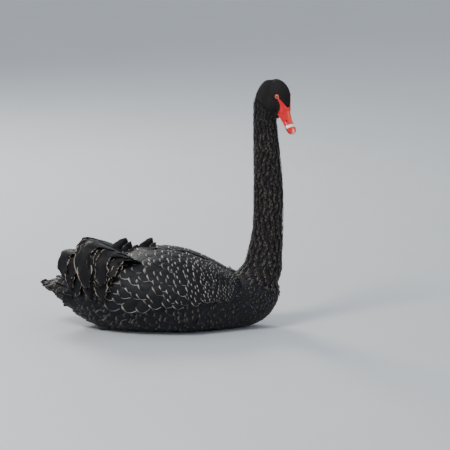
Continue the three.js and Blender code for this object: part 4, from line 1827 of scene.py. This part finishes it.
@dataclass
class Leg:
    """A leg tucked under the belly: scaled shank and a three-toed web."""

    side: Side
    y: float = 43.0
    heel: float = -168.0
    ankle: float = -88.0
    toe: float = 1.0
    spreads: Place = (-0.30, 0.02, 0.32)
    web_heights: tuple[float, float] = (1.0, 4.4)
    voxel: float = 1.4
    lowest: float = 0.2

    def balls(self) -> list[tuple[float, float, float]]:
        """The row of balls that shank, joints and toes are blended from.

        Returns:
            Each one's place along the leg, place aside and radius.
        """
        balls = [(self.heel, 0.0, 8.2), (self.heel + 6, 0.0, 7.6)]
        for x in np.linspace(self.heel + 10, self.ankle, 24):
            share = (x - self.heel) / (self.ankle - self.heel)
            balls.append((float(x), 0.0, 6.0 + 1.2 * abs(2 * share - 1) ** 3))
        for spread in self.spreads:
            length = (self.toe - self.ankle) * (1.0 if abs(spread) < 0.1 else 0.84)
            for t in np.linspace(0, 1, 26):
                knuckle = 0.25 * math.cos(t * 6 * math.pi)
                balls.append((self.ankle + length * t, spread * length * t, 3.6 - 1.2 * t + knuckle))
        return balls

    def build(self, finish: bpy.types.Material) -> None:
        """Make the shank, joints, toes and web as one closed skin.

        Args:
            finish: the scaled skin.
        """
        points, faces = ball(12, 8)
        points = np.roll(points, -1, axis=-1)
        forms = [(r * points + [x, self.side.value * (self.y + y), r + 0.3], faces)
                 for x, y, r in self.balls()]
        outline = [(self.ankle, 0), (self.toe - 17, -24), (self.toe - 10, -10), (self.toe - 6, 0),
                   (self.toe - 9, 10), (self.toe - 19, 23)]
        n = len(outline)
        web = [[x, self.side.value * (self.y + y), z] for z in self.web_heights for x, y in outline]
        web_faces = [tuple(range(n)), tuple(reversed(range(n, 2 * n)))]
        web_faces += [(i, n + i, n + (i + 1) % n, (i + 1) % n) for i in range(n)]
        forms.append((np.array(web), web_faces))
        word = self.side.name.lower()
        piece = mesh_object(f"foot_{word}", *joined(forms))
        outward(piece)
        remesh = piece.modifiers.new("join", "REMESH")
        remesh.mode, remesh.voxel_size = "VOXEL", self.voxel * MM
        smooth = piece.modifiers.new("soften", "SMOOTH")
        smooth.factor, smooth.iterations = 0.5, 2
        settle(piece)
        keep_above(piece, self.lowest)
        x, y, z = vertex_places(piece.data).T
        spots = np.stack([(x + 180) / 400, (np.abs(y) - 5) / 400 + 0.4 * (z > 4)], -1)
        store_uv(piece.data, "OFBake", spots[corner_vertices(piece.data)])
        finish_piece(piece, finish, [f"leg_{word}"])


# Studio


@dataclass
class Studio:
    """Camera, lights and a plain floor."""

    aim: Place = (0.13475, 0.0, 0.2543)
    elevation: float = math.radians(12)
    distance: float = 10.0
    lens: float = 326.5
    sky: str = "#cfd6dd"
    floor_reach: float = 30000.0

    def build(self) -> None:
        """Set the camera as the photograph's, then light the bird softly."""
        data = bpy.data.cameras.new("camera")
        data.lens, data.sensor_width, data.clip_end = self.lens, 36.0, 100.0
        back = Vector((0, -math.cos(self.elevation), math.sin(self.elevation)))
        bpy.context.scene.camera = self.aimed("camera", data, Vector(self.aim) + back * self.distance)
        self.floor()
        for name, place, size, power, colour in (
                ("key", (-1.4, -1.8, 2.8), 1.2, 90, (1.0, 0.98, 0.95)),
                ("fill", (2.6, -2.4, 1.2), 2.5, 14, (0.92, 0.96, 1.0)),
                ("rim", (-1.2, 2.4, 1.8), 1.2, 65, (1.0, 0.97, 0.93))):
            data = bpy.data.lights.new(name, "AREA")
            data.shape, data.size, data.energy, data.color = "DISK", size, power, colour
            self.aimed(name, data, Vector(place))
        world = bpy.data.worlds.new("sky")
        world.use_nodes = True
        world.node_tree.nodes["Background"].inputs[0].default_value = linear(self.sky)
        world.node_tree.nodes["Background"].inputs[1].default_value = 1.1
        bpy.context.scene.world = world

    def aimed(self, name: str, data: bpy.types.ID, place: Vector) -> bpy.types.Object:
        """Stand the camera or a light somewhere, turned to the bird.

        Args:
            name: its name.
            data: the camera or light.
            place: where it stands.

        Returns:
            Its object.
        """
        made = bpy.data.objects.new(name, data)
        bpy.context.scene.collection.objects.link(made)
        made.location = place
        made.rotation_mode = "QUATERNION"
        made.rotation_quaternion = (Vector(self.aim) - place).to_track_quat("-Z", "Y")
        return made

    def floor(self) -> None:
        """A pale painted floor that runs far back, matt so that the bird's shadow lies soft on it."""
        r = self.floor_reach
        corners = np.array([[-r, -r, 0], [r, -r, 0], [r, r, 0], [-r, r, 0]])
        piece = mesh_object("floor", corners, [(0, 1, 2, 3)])
        s = Shader("pale studio floor")
        # Faint mottling a third of a metre across.
        mottle = s.add("ShaderNodeTexNoise", {"Vector": s.place, "Scale": 3.0, "Detail": 3.0})
        colour = s.add("ShaderNodeMix", {0: mottle, 6: linear("#b9bcc0"), 7: linear("#c0c3c6")}, 2, **COLOUR)
        piece.data.materials.append(s.finish({"Base Color": colour, "Roughness": 0.7}))


def main() -> None:
    """Build the swan, piece by piece."""
    logging.basicConfig(level=logging.INFO, format="%(name)s %(message)s")
    Studio().build()
    skin = Skin().build()
    coats = Coats(Scatter(skin), FeatherTree())
    finish_piece(skin, Down().make(), [
        "trunk", "tail", "neck_lower", "neck_middle", "neck_upper", "head", "wing_left", "wing_right"])
    # Short feathers in furrows, whose brownish tips catch the light along the crests.
    neck = Plumage("furrowed neck feathers", fringe="#7a6c62", fringe_from=0.55, fringe_to=0.92,
                   fringe_share=0.85, barbs=8.0)
    # Overlapping scales, a little bluer, each edged with grey.
    body = Plumage("rounded body feathers", vane="#0a0a0d", sheen="#11131a", fringe="#7d736d",
                   fringe_share=0.6, barbs=14.0)
    # A dull pile with no single feather to be seen.
    velvet = Plumage("velvety head feathers", vane="#151313", sheen="#1b1817", fringe="#2b2624",
                     fringe_from=0.4, fringe_to=1.0, rough=0.65, gloss=0.2, barbs=3.0)
    finish_piece(coats.neck(neck.make()), None)
    finish_piece(coats.body(body.make()), None)
    finish_piece(coats.head(velvet.make()), None)
    # Firm vanes with a narrow pale fringe, which draws the rows of scallops.
    wing = Plumage("fringed wing coverts", fringe="#b5aba3", fringe_from=0.90, fringe_to=0.97,
                   fringe_share=0.9)
    # Long loose vanes, the blackest of all, with worn pale edges.
    inner = Plumage("curled inner flight feathers", vane="#070608", sheen="#0d0b0d", fringe="#a3958a",
                    fringe_from=0.88, fringe_to=0.97, fringe_share=0.8, rough=0.48, gloss=0.2, barbs=60.0)
    # Clean white vanes, smoother than the rest.
    white = Plumage("white flight feathers", vane="#e4e1da", sheen="#efece6", fringe="#cfcac2",
                    gloss=0.4, barbs=50.0)
    # Dull narrow vanes.
    tail = Plumage("tail feathers", vane="#0a090b", fringe="#6c625c", fringe_from=0.82, rough=0.7, gloss=0.1)
    finishes = [finish.make() for finish in (wing, inner, white)]
    for side in Side:
        Wing(side).dress(*finishes)
    Tail().build(tail.make())
    bill, horn = Bill(), Horn().make()
    bill.upper(horn)
    bill.under(horn)
    iris = Iris().make()
    rim = Flesh("orange eyelid skin", "#c03a16", "#e8663e", 2 / 3, 0.4).make()
    scales = Flesh("black scaled leg skin", "#0e0d10", "#2b2830", 2.38, 0.6).make()
    for side in Side:
        Eye(side).build(iris, rim)
        Leg(side).build(scales)


if __name__ == "__main__":
    main()
